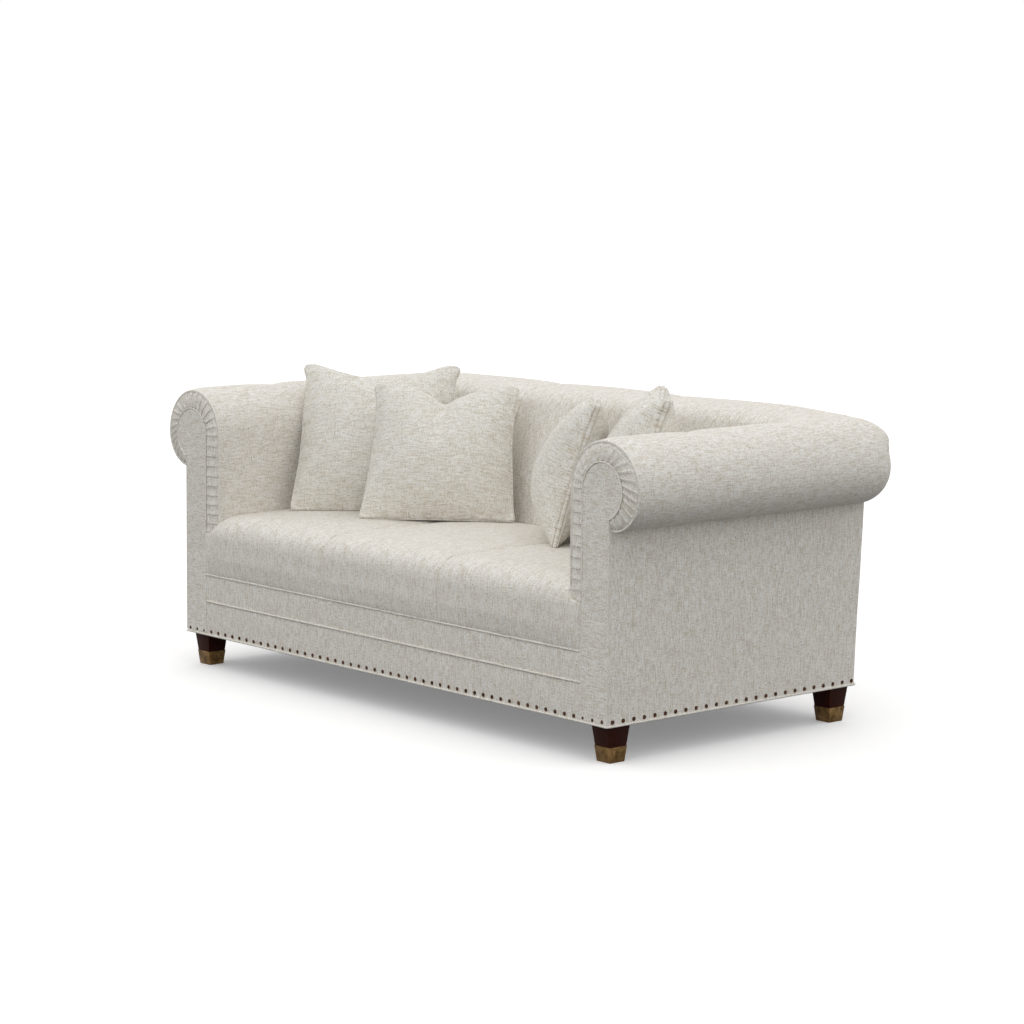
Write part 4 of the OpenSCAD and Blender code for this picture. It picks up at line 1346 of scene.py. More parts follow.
@dataclass
class Seat:
    """Tight bench seat in three sewn sections, whose nose runs on in front of the arms."""

    shape: Shape
    cloth: bpy.types.Material
    rise: float = 12.0
    thick: float = 12.0
    # Height up to which the nose runs on to the arm front, under the rounded corner of the pleats
    wrap_z: float = 392.5
    corner_r: float = 35.5
    gathers: Gathers = Gathers(rise=0.55, long=43, short=27, share=0.6, sway=0.8, slow=61, reach=26)

    def profile(self) -> tuple[np.ndarray, np.ndarray]:
        """Profile of the seat from the border up the nose and back to the tuck, and its rise there.

        Returns:
            Points in Y and Z, and the share of the crown at each.
        """
        s = self.shape
        top = s.seat_z
        front = np.array([[-2.0, s.border_z - 3], [-4.5, s.border_z + 8], [-6, 323],
                          [-5, top - 68]])
        nose = bend([-5, top - 68], [-2, top - 6], [62, top - 2], 16)[1:]
        deck = np.array([[165, top + 1], [295, top + 2], [460, top + 2], [560, top + 1.5],
                         [s.seat_d, top], [s.seat_d + 40, top - 3]])
        line = np.concatenate([front, nose, deck])
        run, count = lengths(line), 120
        weight = np.interp(run, run[[0, 1, 2, 3, 9, 18, 19, 20, 21, 22, 23, 24]],
                           [0.0, 0.15, 0.45, 0.5, 0.75, 0.95, 1.0, 1.0, 1.0, 0.6, 0.15, 0.0])
        return resample(line, count), np.interp(np.linspace(0, 1, count), run/run[-1], weight)

    def past(self, z: np.ndarray) -> np.ndarray:
        """How far past the arm's inner face the crown of an end section runs at a height."""
        return (self.shape.strip_in - self.shape.arm_in)*(1 - smooth((z - self.wrap_z + 3)/44))

    def section(self, part: Section) -> bpy.types.Object:
        """Build one sewn section, drawn on the right or in the middle.

        Args:
            part: Which section.

        Returns:
            The section.
        """
        s = self.shape
        line, weight = self.profile()
        normal, along = line_normals(line), lengths(line)[:, None]
        middle, left = part is Section.CENTRE, part is Section.LEFT
        low, high = (-s.seam_x, s.seam_x) if middle else (s.seam_x, s.arm_in)
        x = packed(low, high, 73, even=0.15)
        end = high + (0 if middle else self.past(line[:, 1]))*np.ones(len(line))
        lift = self.rise*weight[:, None]*crown((x[None, :] - low)/(end - low)[:, None])
        for k, seam in enumerate((low, high)):
            lift = lift + self.gathers.at(along, np.abs(x - seam)[None, :], k)
        for seam in (low, high) if middle else (low,):
            lift = lift - pinch(x[None, :] - seam, line[:, None, 1])
        grid = np.stack([np.broadcast_to(x, lift.shape), line[:, None, 0] + normal[:, None, 0]*lift,
                         line[:, None, 1] + normal[:, None, 1]*lift], 2)
        at_place = grid*np.array([-1 if left else 1, 1, 1])
        wave = soft_waves(at_place, 0.9, 170, 5)*np.minimum(1, np.minimum(x - low, high - x)/30)
        grid[:, :, 1:] += normal[:, None]*wave[..., None]
        grids = [grid] if middle else [grid, self.wrap(line, weight, normal, low)]
        return shell(f"seat_{part.value}", [face_out(g, left) for g in grids], self.cloth,
                     self.thick)

    def wrap(self, line: np.ndarray, weight: np.ndarray, normal: np.ndarray,
             low: float) -> np.ndarray:
        """The nose where it runs on to the arm front's strip, under the pleats' rounded corner.

        Args:
            line: The seat's profile in Y and Z.
            weight: Share of the crown at each point of it.
            normal: Its outward normal at each point.
            low: X of the section's inner seam.

        Returns:
            Points of shape (rows, columns, 3), the first column on the section's own edge.
        """
        s = self.shape
        end = s.strip_in + 1.0
        x = np.linspace(s.arm_in, end, 30)
        centre = s.facing_x - s.facing_r + self.corner_r - 5.5
        reach = np.maximum(0, centre - x)
        top = self.wrap_z + self.corner_r - np.sqrt(np.maximum(self.corner_r**2 - reach**2, 30))
        count = int(np.argmax(line[:, 1] > top[0]))
        z = line[:count, 1]
        share = (top - self.wrap_z)/(top[0] - self.wrap_z)
        rows = []
        # Its edge turns in beside the cord of the arm front
        inward = 6.0*np.exp(-(end - x)/4.0)
        for height in z:
            high = np.where(height <= self.wrap_z, height,
                            self.wrap_z + (height - self.wrap_z)*share)
            y, w, ny, nz = (np.interp(high, z, known[:count])
                            for known in (line[:, 0], weight, normal[:, 0], normal[:, 1]))
            t = np.clip((x - low)/(s.arm_in + self.past(high) - low), 0, 1)
            lift = self.rise*w*crown(t)
            rows.append(np.column_stack([x, y + ny*lift + inward, high + nz*lift]))
        # The cloth turns in under the pleats
        for back, rise in ((2.0, 0.7), (6.0, 1.0), (12.0, 1.0), (22.0, 1.0)):
            rows.append(rows[count - 1] + [0, back, rise])
        return np.array(rows)

    def build(self) -> None:
        """Build and dress the three sections."""
        for part in Section:
            nodes = [f"seat_cover_{part.value}"] + (["seat_foam"] if part is Section.CENTRE else [])
            dress(self.section(part), "sofa", "linen", *nodes, fill=0.85)


@dataclass
class Back:
    """Tight back in three sewn sections that run over the back roll, and the outside back."""

    shape: Shape
    cloth: bpy.types.Material
    rise: float = 9.0
    # How far the roll rises above those of the arms, and where across it starts to and ends
    lift: float = 7.0
    lift_x: tuple[float, float] = (845.0, 619.0)
    thick: float = 10.0
    gathers: Gathers = Gathers(rise=0.5, long=47, short=29, share=0.5, sway=0.9, slow=71, reach=28)

    def profile(self, lift: float) -> tuple[np.ndarray, np.ndarray]:
        """Profile of the back from the tuck over the shoulder and round the roll.

        Args:
            lift: Rise of the roll above that of the arms.

        Returns:
            Points in Y and Z, and the share of the crown at each.
        """
        s = self.shape
        foot, shoulder = np.array([s.seat_d, s.seat_z]), np.array([s.seat_d + 119, 771])
        high = s.roll_z + s.roll_r + lift
        tuck = foot + [[18, -26], [8, -13], [1, 2]]
        rake = foot + (shoulder - foot)*np.linspace(0.05, 1, 20)[:, None]
        over = bend(shoulder, [s.seat_d + 132, high - 2], [s.roll_y, high], 18)[1:]
        roll = arc((s.roll_y, s.roll_z), s.roll_r, 88, 0, 24)
        roll[:, 1] = s.roll_z + (roll[:, 1] - s.roll_z)*(s.roll_r + lift)/s.roll_r
        under = arc((s.under_y, s.roll_z), s.under_r, -4, -86, 16)
        line = np.concatenate([tuck, rake, over, roll, under])
        run, count = lengths(line)/lengths(line)[-1], 130
        weight = smooth(run/0.16)*smooth((1 - run)/0.34)
        return resample(line, count), np.interp(np.linspace(0, 1, count), run, weight)

    def section(self, part: Section) -> bpy.types.Object:
        """Build one sewn section.

        Args:
            part: Which section.

        Returns:
            The section.
        """
        s = self.shape
        ends = {Section.LEFT: (-s.roll_x, -s.seam_x), Section.CENTRE: (-s.seam_x, s.seam_x),
                Section.RIGHT: (s.seam_x, s.roll_x)}[part]
        # The end sections meet the arms, so that their crown ends at the arm and not at the corner
        inner = np.clip(ends, -s.arm_in, s.arm_in)
        seams = [end for end in ends if abs(end) == s.seam_x]
        x = packed(*ends, 85, even=0.2)
        columns = []
        for px in x:
            rising = smooth((self.lift_x[0] - abs(px))/(self.lift_x[0] - self.lift_x[1]))
            line, weight = self.profile(self.lift*float(rising))
            t = np.clip((px - ends[0])/(ends[1] - ends[0]), 0, 1)
            near = np.clip((px - inner[0])/(inner[1] - inner[0]), 0, 1)
            face = smooth((line[:, 1] - 690)/80)
            rise = self.rise*weight*(face*crown(t) + (1 - face)*crown(near))
            for k, seam in enumerate(seams):
                off = abs(px - seam)
                rise = rise + self.gathers.at(lengths(line), off, k)*weight - pinch(off, line[:, 1])
            point = line + line_normals(line)*rise[:, None]
            columns.append(np.column_stack([np.full(len(point), px), point]))
        grid = np.stack(columns, 1)
        edge = np.minimum(1, np.minimum(x - ends[0], ends[1] - x)/30)
        grid[:, :, 2] += soft_waves(grid, 0.8, 190, 8)*edge
        return shell(f"back_{part.value}", [grid[:, ::-1]], self.cloth, self.thick)

    def outside(self) -> bpy.types.Object:
        """Build the outside back panel, rounded into the outside arm panels.

        Returns:
            The panel.
        """
        s = self.shape
        rows = []
        for z in np.linspace(s.base_z + 1, s.panel_z, 36):
            corner = s.rear_corner(z, 48, 90)
            end = corner[-1, 0]
            flat = np.linspace(end, -end, 110)
            middle = np.column_stack([flat, corner[-1, 1] + 1.5*(1 - np.abs(flat/end)**14)])
            line = np.concatenate([corner[:-1], middle, corner[-2::-1]*[-1, 1]])
            rows.append(at_height(line, z))
        grid = np.array(rows)
        grid[:, :, 1] += soft_waves(grid, 0.6, 240, 12)
        return shell("outside_back_linen", [grid[::-1]], self.cloth)

    def build(self) -> None:
        """Build and dress the three sections and the outside back."""
        for part in Section:
            nodes = [f"back_cover_{part.value}"] + (["back_foam"] if part is Section.CENTRE else [])
            dress(self.section(part), "sofa", "linen", *nodes, fill=0.85)
        dress(self.outside(), "sofa", "linen", "outside_back")


@dataclass
class Base:
    """Front border with its piping, the welt of the bottom edge and the nailheads."""

    shape: Shape
    finish: Finishes
    cords: bpy.types.NodeTree
    nails: bpy.types.NodeTree
    piping_d: float = 5.0
    nail_d: float = 11.0
    nail_h: float = 3.6
    nail_pitch: float = 35.0
    nail_z: float = 108.0
    puff: float = 2.0
    welt_r: tuple[float, float] = (4.0, 12.0)

    def border(self) -> bpy.types.Object:
        """Build the border in two puffed bands with a seam at the lower piping.

        Returns:
            The border.
        """
        s = self.shape
        z = np.concatenate([np.linspace(s.base_z + 1, s.piping_z, 26),
                            np.linspace(s.piping_z, s.border_z, 24)[1:]])
        up = np.interp(z, [s.base_z, s.piping_z, s.border_z], [0.0, 1.0, 2.0])
        puffed = self.puff*(1 - np.abs(2*np.where(z < s.piping_z, up, up - 1) - 1)**4)
        x = np.linspace(-s.strip_in + 0.3, s.strip_in - 0.3, 170)
        y = np.broadcast_to((0.6 - puffed)[:, None], (len(z), len(x)))
        grid = np.stack([np.broadcast_to(x, y.shape), y, np.broadcast_to(z[:, None], y.shape)], 2)
        grid[:, :, 1] += soft_waves(grid, 0.5, 160, 2)*np.minimum(1, puffed/1.5)[:, None]
        return shell("border_linen", [face_out(grid, False)], self.finish["linen"])

    def cord(self, name: str, lines: Sequence[np.ndarray], size: float, spacing: float,
             closed: bool = False) -> bpy.types.Object:
        """Build covered cord along some lines.

        Args:
            name: The piece's name.
            lines: Points of each run.
            size: The cord's diameter.
            spacing: Distance between its rings.
            closed: Whether each run joins its own start.

        Returns:
            The cord.
        """
        return run_tree(path_object(name, lines, closed), self.cords, Diameter=size*MM,
                        Spacing=spacing*MM, Sides=CORD_SIDES, Material=self.finish["linen_trim"])

    def piping(self) -> bpy.types.Object:
        """Build the two piping lines of the border.

        Returns:
            The piping.
        """
        s = self.shape
        x = np.linspace(-s.strip_in + 1, s.strip_in - 1, 60)
        level = np.column_stack([x, np.full(len(x), -self.piping_d/2 + 0.3)])
        heights = (s.piping_z, s.border_z - self.piping_d/2 - 0.2)
        return self.cord("border_piping", [at_height(level, z) for z in heights], self.piping_d, 8)

    def welt(self) -> bpy.types.Object:
        """Build the welt of the bottom edge, one closed run round the base.

        Returns:
            The welt.
        """
        s = self.shape
        z = s.base_z + self.piping_d/2
        x, front, rear = s.arm_out + 1.2, -1.6, s.rear_face(z) + 1.2
        near, far = self.welt_r
        turns = ((x - near, front + near, near, -90), (x - far, rear - far, far, 0),
                 (-x + far, rear - far, far, 90), (-x + near, front + near, near, 180))
        line = np.concatenate([arc((cx, cy), r, a, a + 90, 8) for cx, cy, r, a in turns])
        return self.cord("bottom_welt", [at_height(line, z)], self.piping_d + 0.6, 6, closed=True)

    def nail_rows(self) -> bpy.types.Object:
        """Build the nailheads along the front and both sides.

        Returns:
            All the nailheads.
        """
        s = self.shape
        end = self.nail_d/2 + 12
        rows = [np.array([[-s.arm_out + end, -0.4, self.nail_z],
                          [s.arm_out - end, -0.4, self.nail_z]])]
        ways: list[tuple[float, float, float]] = [(0, -1, 0)]
        for side in Side:
            x = side.value*(s.arm_out + 0.2)
            rows.append(np.array([[x, end, self.nail_z], [x, s.base_d - end, self.nail_z]]))
            ways.append((side.value, 0, 0))
        return run_tree(path_object("nail_trim", rows, facing=ways), self.nails,
                        Pitch=self.nail_pitch*MM, Diameter=self.nail_d*MM, Height=self.nail_h*MM,
                        Material=self.finish["antique_nails"])

    def build(self) -> None:
        """Build and dress the base."""
        dress(self.border(), "sofa", "linen", "front_border")
        dress(self.piping(), "sofa", "linen_trim", "front_piping")
        dress(self.welt(), "sofa", "linen_trim", "base_welt")
        dress(self.nail_rows(), "sofa", "antique_nails", "nailheads")


@dataclass
class Feet:
    """Four tapered feet, each with a metal ferrule."""

    shape: Shape
    finish: Finishes
    top: float = 68.0
    foot: float = 46.0
    ferrule_h: float = 40.0
    ferrule_t: float = 1.2
    in_x: float = 11.0
    in_y: float = 18.0
    wood_soft: float = 1.2
    metal_soft: float = 0.8

    def taper(self, name: str, x: float, y: float, low: float, high: float, over: float,
              slot: str, soft: float) -> bpy.types.Object:
        """Build a tapered square block with softened edges.

        Args:
            name: The piece's name.
            x: Its middle across the sofa.
            y: Its middle in depth.
            low: Its lowest height.
            high: Its highest height.
            over: How much larger it is than the foot, all round.
            slot: The slot of its finish.
            soft: Radius of its edges.

        Returns:
            The block.
        """
        verts = []
        for z in (low, high):
            half = (self.foot + (self.top - self.foot)*z/self.shape.base_z)/2 + over
            verts += [[x + a*half, y + b*half, z] for a, b in ((-1, -1), (1, -1), (1, 1), (-1, 1))]
        walls = [(k, (k + 1) % 4, 4 + (k + 1) % 4, 4 + k) for k in range(4)]
        faces = [(0, 3, 2, 1), (4, 5, 6, 7)] + walls
        block = make_object(name, np.array(verts), faces, self.finish[slot])
        edges = block.modifiers.new("soft edges", "BEVEL")
        edges.width = soft*MM
        edges.segments = 3
        mesh = bake(block)
        mesh.shade_smooth()
        mesh.set_sharp_from_angle(angle=math.radians(60))
        return block

    def build(self) -> None:
        """Build and dress the feet and ferrules."""
        s = self.shape
        x = s.arm_out - self.in_x - self.top/2
        depths = {"front": self.in_y + self.top/2, "rear": s.base_d - self.in_y - self.top/2}
        caps = []
        for end, y in depths.items():
            for side in Side:
                leg = self.taper(f"{end}_{side.word}_foot_wood", side.value*x, y, self.ferrule_t,
                                 s.base_z - 0.2, 0.0, "dark_wood", self.wood_soft)
                dress(leg, "sofa", "dark_wood", f"{end}_{side.word}_leg")
                caps.append(self.taper("cap", side.value*x, y, 0.0, self.ferrule_h, self.ferrule_t,
                                       "antique_brass", self.metal_soft))
        dress(join("foot_caps", caps), "sofa", "antique_brass", "ferrules")


class Cut(Enum):
    """How a pillow's side and dented top run: points in its plane, as shares of its sizes."""

    BROAD = (((-0.009, 0.012), (-0.015, 0.041), (-0.011, 0.093), (-0.004, 0.178), (0.007, 0.305),
              (0.013, 0.433), (0.012, 0.547), (0.009, 0.661), (0.009, 0.775), (0.01, 0.888),
              (0.006, 0.934), (-0.007, 0.966), (-0.011, 0.993), (-0.004, 1.014)),
             ((-0.004, 1.014), (0.013, 1.021), (0.049, 1.023), (0.1, 1.014), (0.156, 0.995),
              (0.222, 0.975), (0.304, 0.954), (0.387, 0.934), (0.444, 0.92), (0.5, 0.917),
              (0.556, 0.925), (0.667, 0.95), (0.764, 0.97), (0.824, 0.989), (0.882, 1.009),
              (0.942, 1.021), (0.991, 1.021), (1.011, 1.011)))
    CLEFT = (((0.007, 0.008), (0.009, 0.035), (0.02, 0.101), (0.029, 0.192), (0.04, 0.331),
              (0.051, 0.47), (0.058, 0.586), (0.06, 0.669), (0.058, 0.747), (0.053, 0.851),
              (0.047, 0.922), (0.038, 0.972), (0.036, 0.99), (0.044, 1.008)),
             ((0.044, 1.008), (0.067, 1.015), (0.111, 1.018), (0.167, 1.015), (0.238, 1.008),
              (0.289, 0.987), (0.34, 0.962), (0.389, 0.937), (0.433, 0.907), (0.469, 0.876),
              (0.493, 0.864), (0.518, 0.871), (0.544, 0.891), (0.578, 0.914), (0.653, 0.949),
              (0.722, 0.972), (0.807, 0.997), (0.884, 1.01), (0.922, 1.008), (0.956, 0.997)))

    def __init__(self, side: tuple, top: tuple) -> None:
        """Keep the points of one side and of the top."""
        self.side = side
        self.top = top


@dataclass(frozen=True)
class PillowPlace:
    """Where a pillow stands: the lower corner nearest its arm, its turn and lean, and its sizes.

    Its front and rear are how far its faces stand out, its band is the width of cloth sewn between
    them, its bow is how far the rim bends, and its drop how far the top slopes.
    """

    name: str
    corner: tuple[float, float, float]
    turn: float
    lean: float
    high: float
    front: float
    rear: float
    cut: Cut
    band: float = 5.0
    bow: float = 0.0
    drop: float = 0.0

    def place(self, local: np.ndarray) -> np.ndarray:
        """Move points from the pillow's own frame to its place on the seat.

        Args:
            local: Points in millimetres, X across, Y through and Z up the pillow.

        Returns:
            The points in millimetres, from the base front.
        """
        a, b = math.radians(-self.lean), math.radians(self.turn)
        x, y, z = local[..., 0], local[..., 1], local[..., 2]
        y, z = y*math.cos(a) - z*math.sin(a), y*math.sin(a) + z*math.cos(a)
        x, y = x*math.cos(b) - y*math.sin(b), x*math.sin(b) + y*math.cos(b)
        out = np.stack([x - abs(self.corner[0]), y + self.corner[1], z + self.corner[2]], -1)
        # The right pair is drawn on the left and mirrored
        return out*np.array([-1, 1, 1]) if self.corner[0] > 0 else out


@dataclass
class Pillows:
    """Four loose pillows of linen over fibre, their tops dented by hand, puffed by simulation."""

    shape: Shape
    finish: Finishes
    wide: float = 450.0
    cells: int = 62
    # How much closer its points lie towards the rim
    crowd: float = 1.25
    # Share of its fullness before it is filled
    slack: float = 0.93
    # How far the faces are drawn in beside the band, and the sewn groove behind them
    inset: float = 1.8
    groove: float = 7.5
    # How far the filling may move a point
    cap: float = 12.0
    steps: int = 20
    made: list[tuple[PillowPlace, bpy.types.Object, np.ndarray]] = field(default_factory=list)

    def places(self) -> list[PillowPlace]:
        """Give each pillow its place on the seat.

        Returns:
            The four pillows, from left to right.
        """
        z = self.shape.seat_z
        return [
            PillowPlace("rear_left", (-683, 213.5, z + 9.94), 40.5, 25, 439, 98, 68, Cut.BROAD),
            PillowPlace("front_left", (-411.5, 243, z + 13.42), 40.5, 25, 396, 98, 68, Cut.CLEFT),
            PillowPlace("front_right", (387.5, 281, z + 12.82), 41.5, 17, 379, 107, 75, Cut.CLEFT,
                        band=9.0, bow=5.0, drop=9.0),
            PillowPlace("rear_right", (705, 213.5, z + 8.21), 41.5, 17, 429, 120, 80, Cut.BROAD,
                        band=9.0, bow=5.0, drop=2.0)]

    def spread(self) -> np.ndarray:
        """Numbers from -1 to 1 for the points across a pillow, closer together towards the rim."""
        even = np.linspace(-1, 1, self.cells + 1)
        return np.sign(even)*(1 - (1 - np.abs(even))**self.crowd)

    def plan(self, spot: PillowPlace) -> np.ndarray:
        """Grid of one face of a pillow in its own plane, filled in from its four edges.

        Args:
            spot: The pillow.

        Returns:
            Points in X and Z of shape (cells + 1, cells + 1, 2).
        """
        size, fine = np.array([self.wide, spot.high]), 300
        known = np.linspace(0, 1, fine)
        side, top = fair(spot.cut.side, fine), fair(spot.cut.top, fine)
        # The far side is the near one mirrored, meeting the end of the top
        other = side*[-1, 1] + [1, 0]
        other += (np.array(spot.cut.top[-1]) - other[-1])*known[:, None]**3
        foot = fair([side[0], (0.03, 0.001), (0.06, 0.0), (0.5, 0.001), (0.94, 0.0), (0.97, 0.001),
                     other[0]], fine)
        place = (1 + self.spread())/2
        left, right, high, low = (
            np.stack([np.interp(place, known, line[:, k]) for k in (0, 1)], 1)*size
            for line in (side, other, top, foot))
        s, t = place[:, None, None], place[None, :, None]
        flat = ((1 - t)*low[:, None] + t*high[:, None] + (1 - s)*left[None] + s*right[None]
                - (1 - s)*(1 - t)*low[0] - s*(1 - t)*low[-1] - (1 - s)*t*high[0] - s*t*high[-1])
        flat[:, :, 1] += spot.drop*(1 - 2*s[..., 0])*t[..., 0]**2
        return flat

    @staticmethod
    def rim(n: int) -> np.ndarray:
        """Numbers of the edge points of an n by n grid, once round from its first corner."""
        first = np.arange(n)*n
        return np.concatenate([first, (n - 1)*n + np.arange(1, n), first[-2::-1] + n - 1,
                               np.arange(n - 2, 0, -1)])

    def start(self, spot: PillowPlace) -> bpy.types.Object:
        """Build a pillow a little slack, for the filling: two faces and the band between them.

        Args:
            spot: The pillow.

        Returns:
            The pillow, with its sewn rim in the group "seam".
        """
        n = self.cells + 1
        flat = self.plan(spot)
        rim = self.rim(n)
        edge = flat.reshape(-1, 2)[rim]
        way = np.roll(edge, -1, axis=0) - np.roll(edge, 1, axis=0)
        out = np.column_stack([way[:, 1], -way[:, 0]])
        out /= np.maximum(np.linalg.norm(out, axis=1, keepdims=True), 1e-9)
        u, v = np.meshgrid(self.spread(), self.spread(), indexing="ij")
        dent = np.maximum(0, 1 - np.abs(u)/0.62)**1.3
        # The faces turn under more roundly at the foot than at the top
        along = np.where(v > 0, (1 - np.abs(v)**2.2)**0.62, (1 - np.abs(v)**2)**0.78)
        full = (1 - np.abs(u)**2.2)**0.62*along*(1 - 0.45*dent*((1 + v)/2)**3.5)
        inner = flat.copy().reshape(-1, 2)
        inner[rim] -= out*self.inset
        bow, half = -spot.bow*(1 - v**2)*np.abs(u)**3, spot.band/2
        parts = []
        for sign, deep in ((-1.0, spot.front), (1.0, spot.rear)):
            y = sign*(half + 3.2 + (deep - half)*full*self.slack) + bow
            parts.append(at_depth(inner, y.ravel()))
        # Rings of the band: its two edges and its middle, and the groove on either side
        sewn = ((-self.groove, -half - 1.5), (0.0, -half), (0.7, 0.0), (0.0, half),
                (-self.groove, half + 1.5))
        parts += [at_depth(edge + out*place, bow.ravel()[rim] + y) for place, y in sewn]
        count, start = len(rim), n*n
        between = [2*start + k*count + np.arange(count) for k in range(len(sewn))]
        rings = [rim, *between, rim + start]
        faces = grid_faces(n, n) + grid_faces(n, n, start)
        for a, b in zip(rings, rings[1:]):
            faces += [(a[k], a[(k + 1) % count], b[(k + 1) % count], b[k]) for k in range(count)]
        # The rear face has its own place on the cloth, beside that of the front
        uv = [inner, inner + [600, 0]] + [edge]*len(sewn)
        piece = make_object(f"{spot.name}_throw_linen", spot.place(np.concatenate(parts)), faces,
                            self.finish["pillow_linen"], np.concatenate(uv)*MM, 60.0)
        band = np.arange(2*start, 2*start + len(sewn)*count)
        held = np.concatenate([rim, rim + start, band])
        piece.vertex_groups.new(name="seam").add(held.tolist(), 1.0, "REPLACE")
        return piece

    def fill(self) -> None:
        """Puff the pillows with a short cloth simulation, and cap how far each point moves."""
        scene = bpy.context.scene
        stuff = {"quality": 4, "mass": 0.3, "vertex_group_mass": "seam", "use_pressure": True,
                 "uniform_pressure_force": 4.0, "tension_stiffness": 18,
                 "compression_stiffness": 12, "shear_stiffness": 4, "bending_stiffness": 0.35,
                 "shrink_min": -0.02}
        for _, piece, _ in self.made:
            cloth = piece.modifiers.new("fill", "CLOTH")
            for key, value in stuff.items():
                setattr(cloth.settings, key, value)
            cloth.settings.effector_weights.gravity = 0
            cloth.collision_settings.use_collision = False
            cloth.collision_settings.use_self_collision = False
            cloth.point_cache.frame_start = 1
            cloth.point_cache.frame_end = self.steps
        for step in range(1, self.steps + 1):
            scene.frame_set(step)
        graph = bpy.context.evaluated_depsgraph_get()
        for _, piece, rest in self.made:
            result = piece.evaluated_get(graph).data
            now = np.empty(len(result.vertices)*3)
            result.vertices.foreach_get("co", now)
            move = now.reshape(-1, 3) - rest
            far = np.linalg.norm(move, axis=1, keepdims=True)
            move *= np.minimum(1, self.cap*MM/np.maximum(far, 1e-9))
            piece.modifiers.clear()
            piece.data.vertices.foreach_set("co", (rest + move).ravel())
            piece.data.update()
            log.info("%s: the fill moved it %.1f mm on average, %.1f at most", piece.name,
                     float(far.mean()/MM), float(far.max()/MM))
        scene.frame_set(1)

    @staticmethod
    def finish_off(piece: bpy.types.Object) -> None:
        """Subdivide a filled pillow once and keep the plain mesh.

        Args:
            piece: The pillow.
        """
        piece.vertex_groups.clear()
        change = piece.modifiers.new("fair", "SUBSURF")
        change.levels = change.render_levels = 1
        mesh = bake(piece)
        mesh.shade_smooth()
        mesh.set_sharp_from_angle(angle=math.radians(75))

    def build(self) -> None:
        """Build, fill and dress the four pillows."""
        for spot in self.places():
            piece = self.start(spot)
            rest = np.empty(len(piece.data.vertices)*3)
            piece.data.vertices.foreach_get("co", rest)
            self.made.append((spot, piece, rest.reshape(-1, 3)))
        self.fill()
        for spot, piece, _ in self.made:
            self.finish_off(piece)
            dress(piece, f"{spot.name}_throw", "pillow_linen", f"{spot.name}_pillow", fill=0.55)


@dataclass
class HiddenFrame:
    """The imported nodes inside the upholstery, which keep their shape and get their finish."""

    finish: Finishes
    # The slot of a node, by a word in its name
    slots: dict[str, str] = field(default_factory=lambda: {
        "rail": "timber", "stretchers": "timber", "blocks": "timber", "stump": "plywood",
        "former": "plywood", "board": "bent_board", "springs": "steel", "clips": "steel",
        "bolts": "steel", "insulator": "lining", "webbing": "lining", "dust_cover": "lining",
        "foam": "foam"})

    def build(self) -> None:
        """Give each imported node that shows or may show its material."""
        for name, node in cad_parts.items():
            slot = next((self.slots[word] for word in self.slots if word in name), None)
            if slot is None or node.hide_render:
                continue
            node.data.materials.clear()
            node.data.materials.append(self.finish[slot])
            log.info("%s: kept from the packed model, in %s", name, slot)


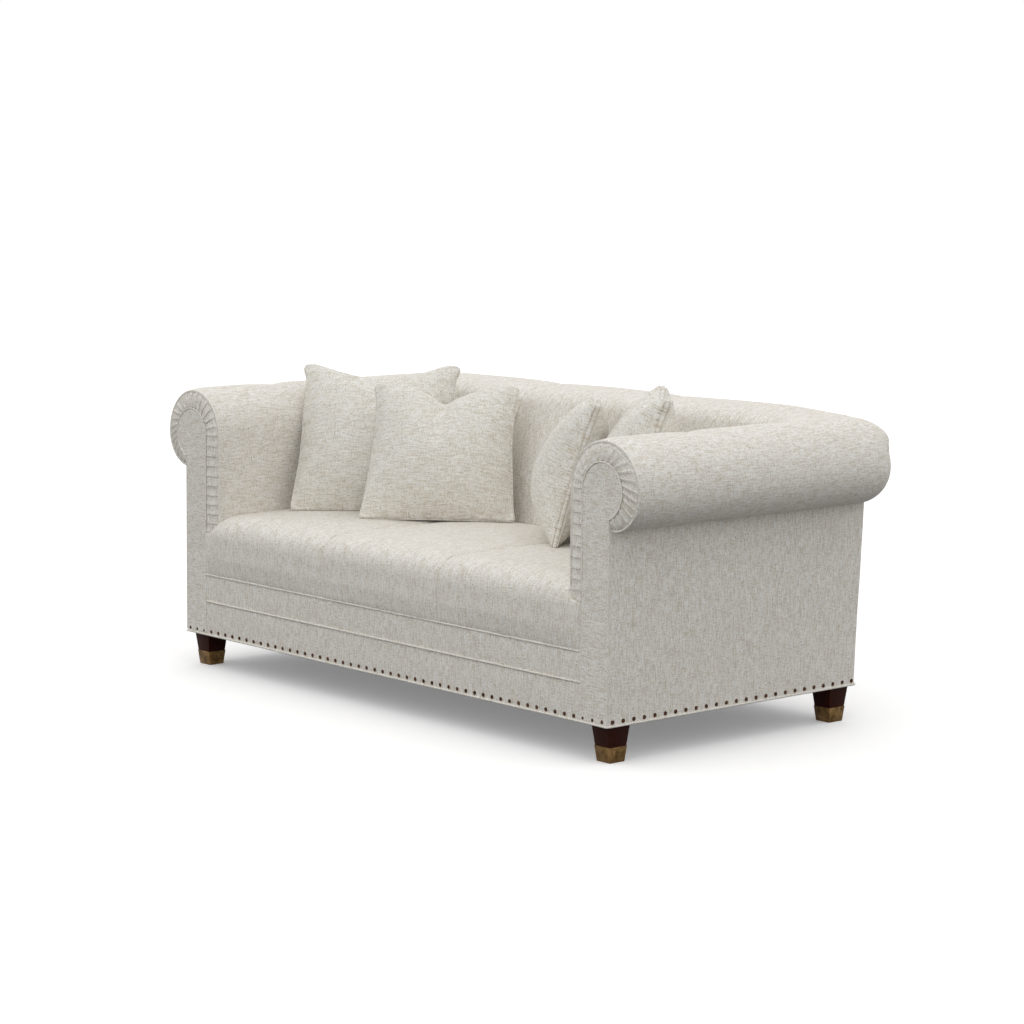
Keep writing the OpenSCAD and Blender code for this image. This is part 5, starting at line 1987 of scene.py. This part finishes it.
@dataclass
class Studio:
    """White floor, soft light from above, a broad lamp in front, and the photograph's camera."""

    camera_at: tuple[float, float, float] = (6110.0, -4678.0, 1549.0)
    azimuth: float = 49.92
    pitch: float = 7.52
    lens: float = 103.02
    sky: float = 0.97
    sun: float = 0.06
    # Azimuth and tilt of the lamp in degrees, and the angle that it fills
    sun_from: tuple[float, float] = (10.0, 25.0)
    sun_wide: float = 60.0
    # Half the floor's width in metres, its own glow, and its tone to look at and to return light
    floor_half: float = 30.0
    floor_glow: float = 0.2
    floor_seen: float = 0.95
    floor_bounce: float = 0.15

    @staticmethod
    def seen(tree: bpy.types.NodeTree) -> bpy.types.NodeSocket:
        """Tell rays that look straight at, mirror or see through to a surface from the light's own.

        Args:
            tree: The tree that asks.

        Returns:
            A socket that is 1 for the first kind and 0 for the second.
        """
        ray = add_node(tree, "ShaderNodeLightPath").outputs
        two = add_node(tree, "ShaderNodeMath", {0: ray["Is Camera Ray"], 1: ray["Is Glossy Ray"]},
                       operation="MAXIMUM")
        return add_node(tree, "ShaderNodeMath", {0: two.outputs[0], 1: ray["Is Transmission Ray"]},
                        operation="MAXIMUM").outputs[0]

    def floor(self) -> None:
        """Build the floor, which looks white and keeps the shadow."""
        mesh = bpy.data.meshes.new("studio_floor")
        half = self.floor_half
        corners = [(-half, -half, 0), (half, -half, 0), (half, half, 0), (-half, half, 0)]
        mesh.from_pydata(corners, [], [(0, 1, 2, 3)])
        material = bpy.data.materials.new("studio white")
        material.use_nodes = True
        tree = material.node_tree
        tree.nodes.clear()
        seen = self.seen(tree)
        # A grey floor for the light that it sends back up, and a white one to look at
        grey = add_node(tree, "ShaderNodeMapRange",
                        {"Value": seen, "To Min": self.floor_bounce, "To Max": self.floor_seen})
        matt = add_node(tree, "ShaderNodeBsdfDiffuse", {"Color": grey.outputs[0]})
        force = add_node(tree, "ShaderNodeMath", {0: seen, 1: self.floor_glow},
                         operation="MULTIPLY")
        glow = add_node(tree, "ShaderNodeEmission", {"Strength": force.outputs[0]})
        both = add_node(tree, "ShaderNodeAddShader", {0: matt.outputs[0], 1: glow.outputs[0]})
        add_node(tree, "ShaderNodeOutputMaterial", {"Surface": both.outputs[0]})
        mesh.materials.append(material)
        add_object("studio_floor", mesh)

    def lights(self) -> None:
        """Set the world and the broad lamp in front."""
        world = bpy.data.worlds.new("studio")
        bpy.context.scene.world = world
        world.use_nodes = True
        tree = world.node_tree
        tree.nodes.clear()
        force = add_node(tree, "ShaderNodeMapRange",
                         {"Value": self.seen(tree), "To Min": self.sky, "To Max": 1.0})
        white = add_node(tree, "ShaderNodeBackground",
                         {"Color": (1.0, 1.0, 1.0, 1.0), "Strength": force.outputs[0]})
        add_node(tree, "ShaderNodeOutputWorld", {"Surface": white.outputs[0]})
        lamp = bpy.data.lights.new("front light", "SUN")
        lamp.energy = math.pi*self.sun
        lamp.angle = math.radians(self.sun_wide)
        azimuth, tilt = map(math.radians, self.sun_from)
        add_object("front light", lamp).rotation_euler = (tilt, 0, azimuth)

    def camera(self) -> None:
        """Place the camera as the photograph's was, worked out from the sofa's own lines."""
        lens = bpy.data.cameras.new("camera")
        lens.lens = self.lens
        lens.sensor_width = 36.0
        lens.clip_end = 200.0
        camera = add_object("camera", lens)
        camera.location = to_frame(np.array(self.camera_at)).tolist()
        camera.rotation_euler = (math.radians(90 - self.pitch), 0, math.radians(self.azimuth))
        bpy.context.scene.camera = camera

    def build(self) -> None:
        """Build the studio."""
        self.floor()
        self.lights()
        self.camera()
        bpy.context.scene.view_settings.view_transform = "Standard"


def main() -> None:
    """Build the studio and the sofa in order."""
    Studio().build()
    finish = Finishes()
    finish.build()
    shape = Shape()
    cords = cord_tree()
    for part in (Base(shape, finish, cords, nail_tree()), Feet(shape, finish),
                 Seat(shape, finish["linen"]), Back(shape, finish["linen"]),
                 ArmCovers(shape, finish["linen"]),
                 ArmFronts(shape, finish["linen"], finish["linen_trim"], cords, pleat_tree()),
                 Pillows(shape, finish), HiddenFrame(finish)):
        part.build()
        log.info("%s done", type(part).__name__)


if __name__ == "__main__":
    main()
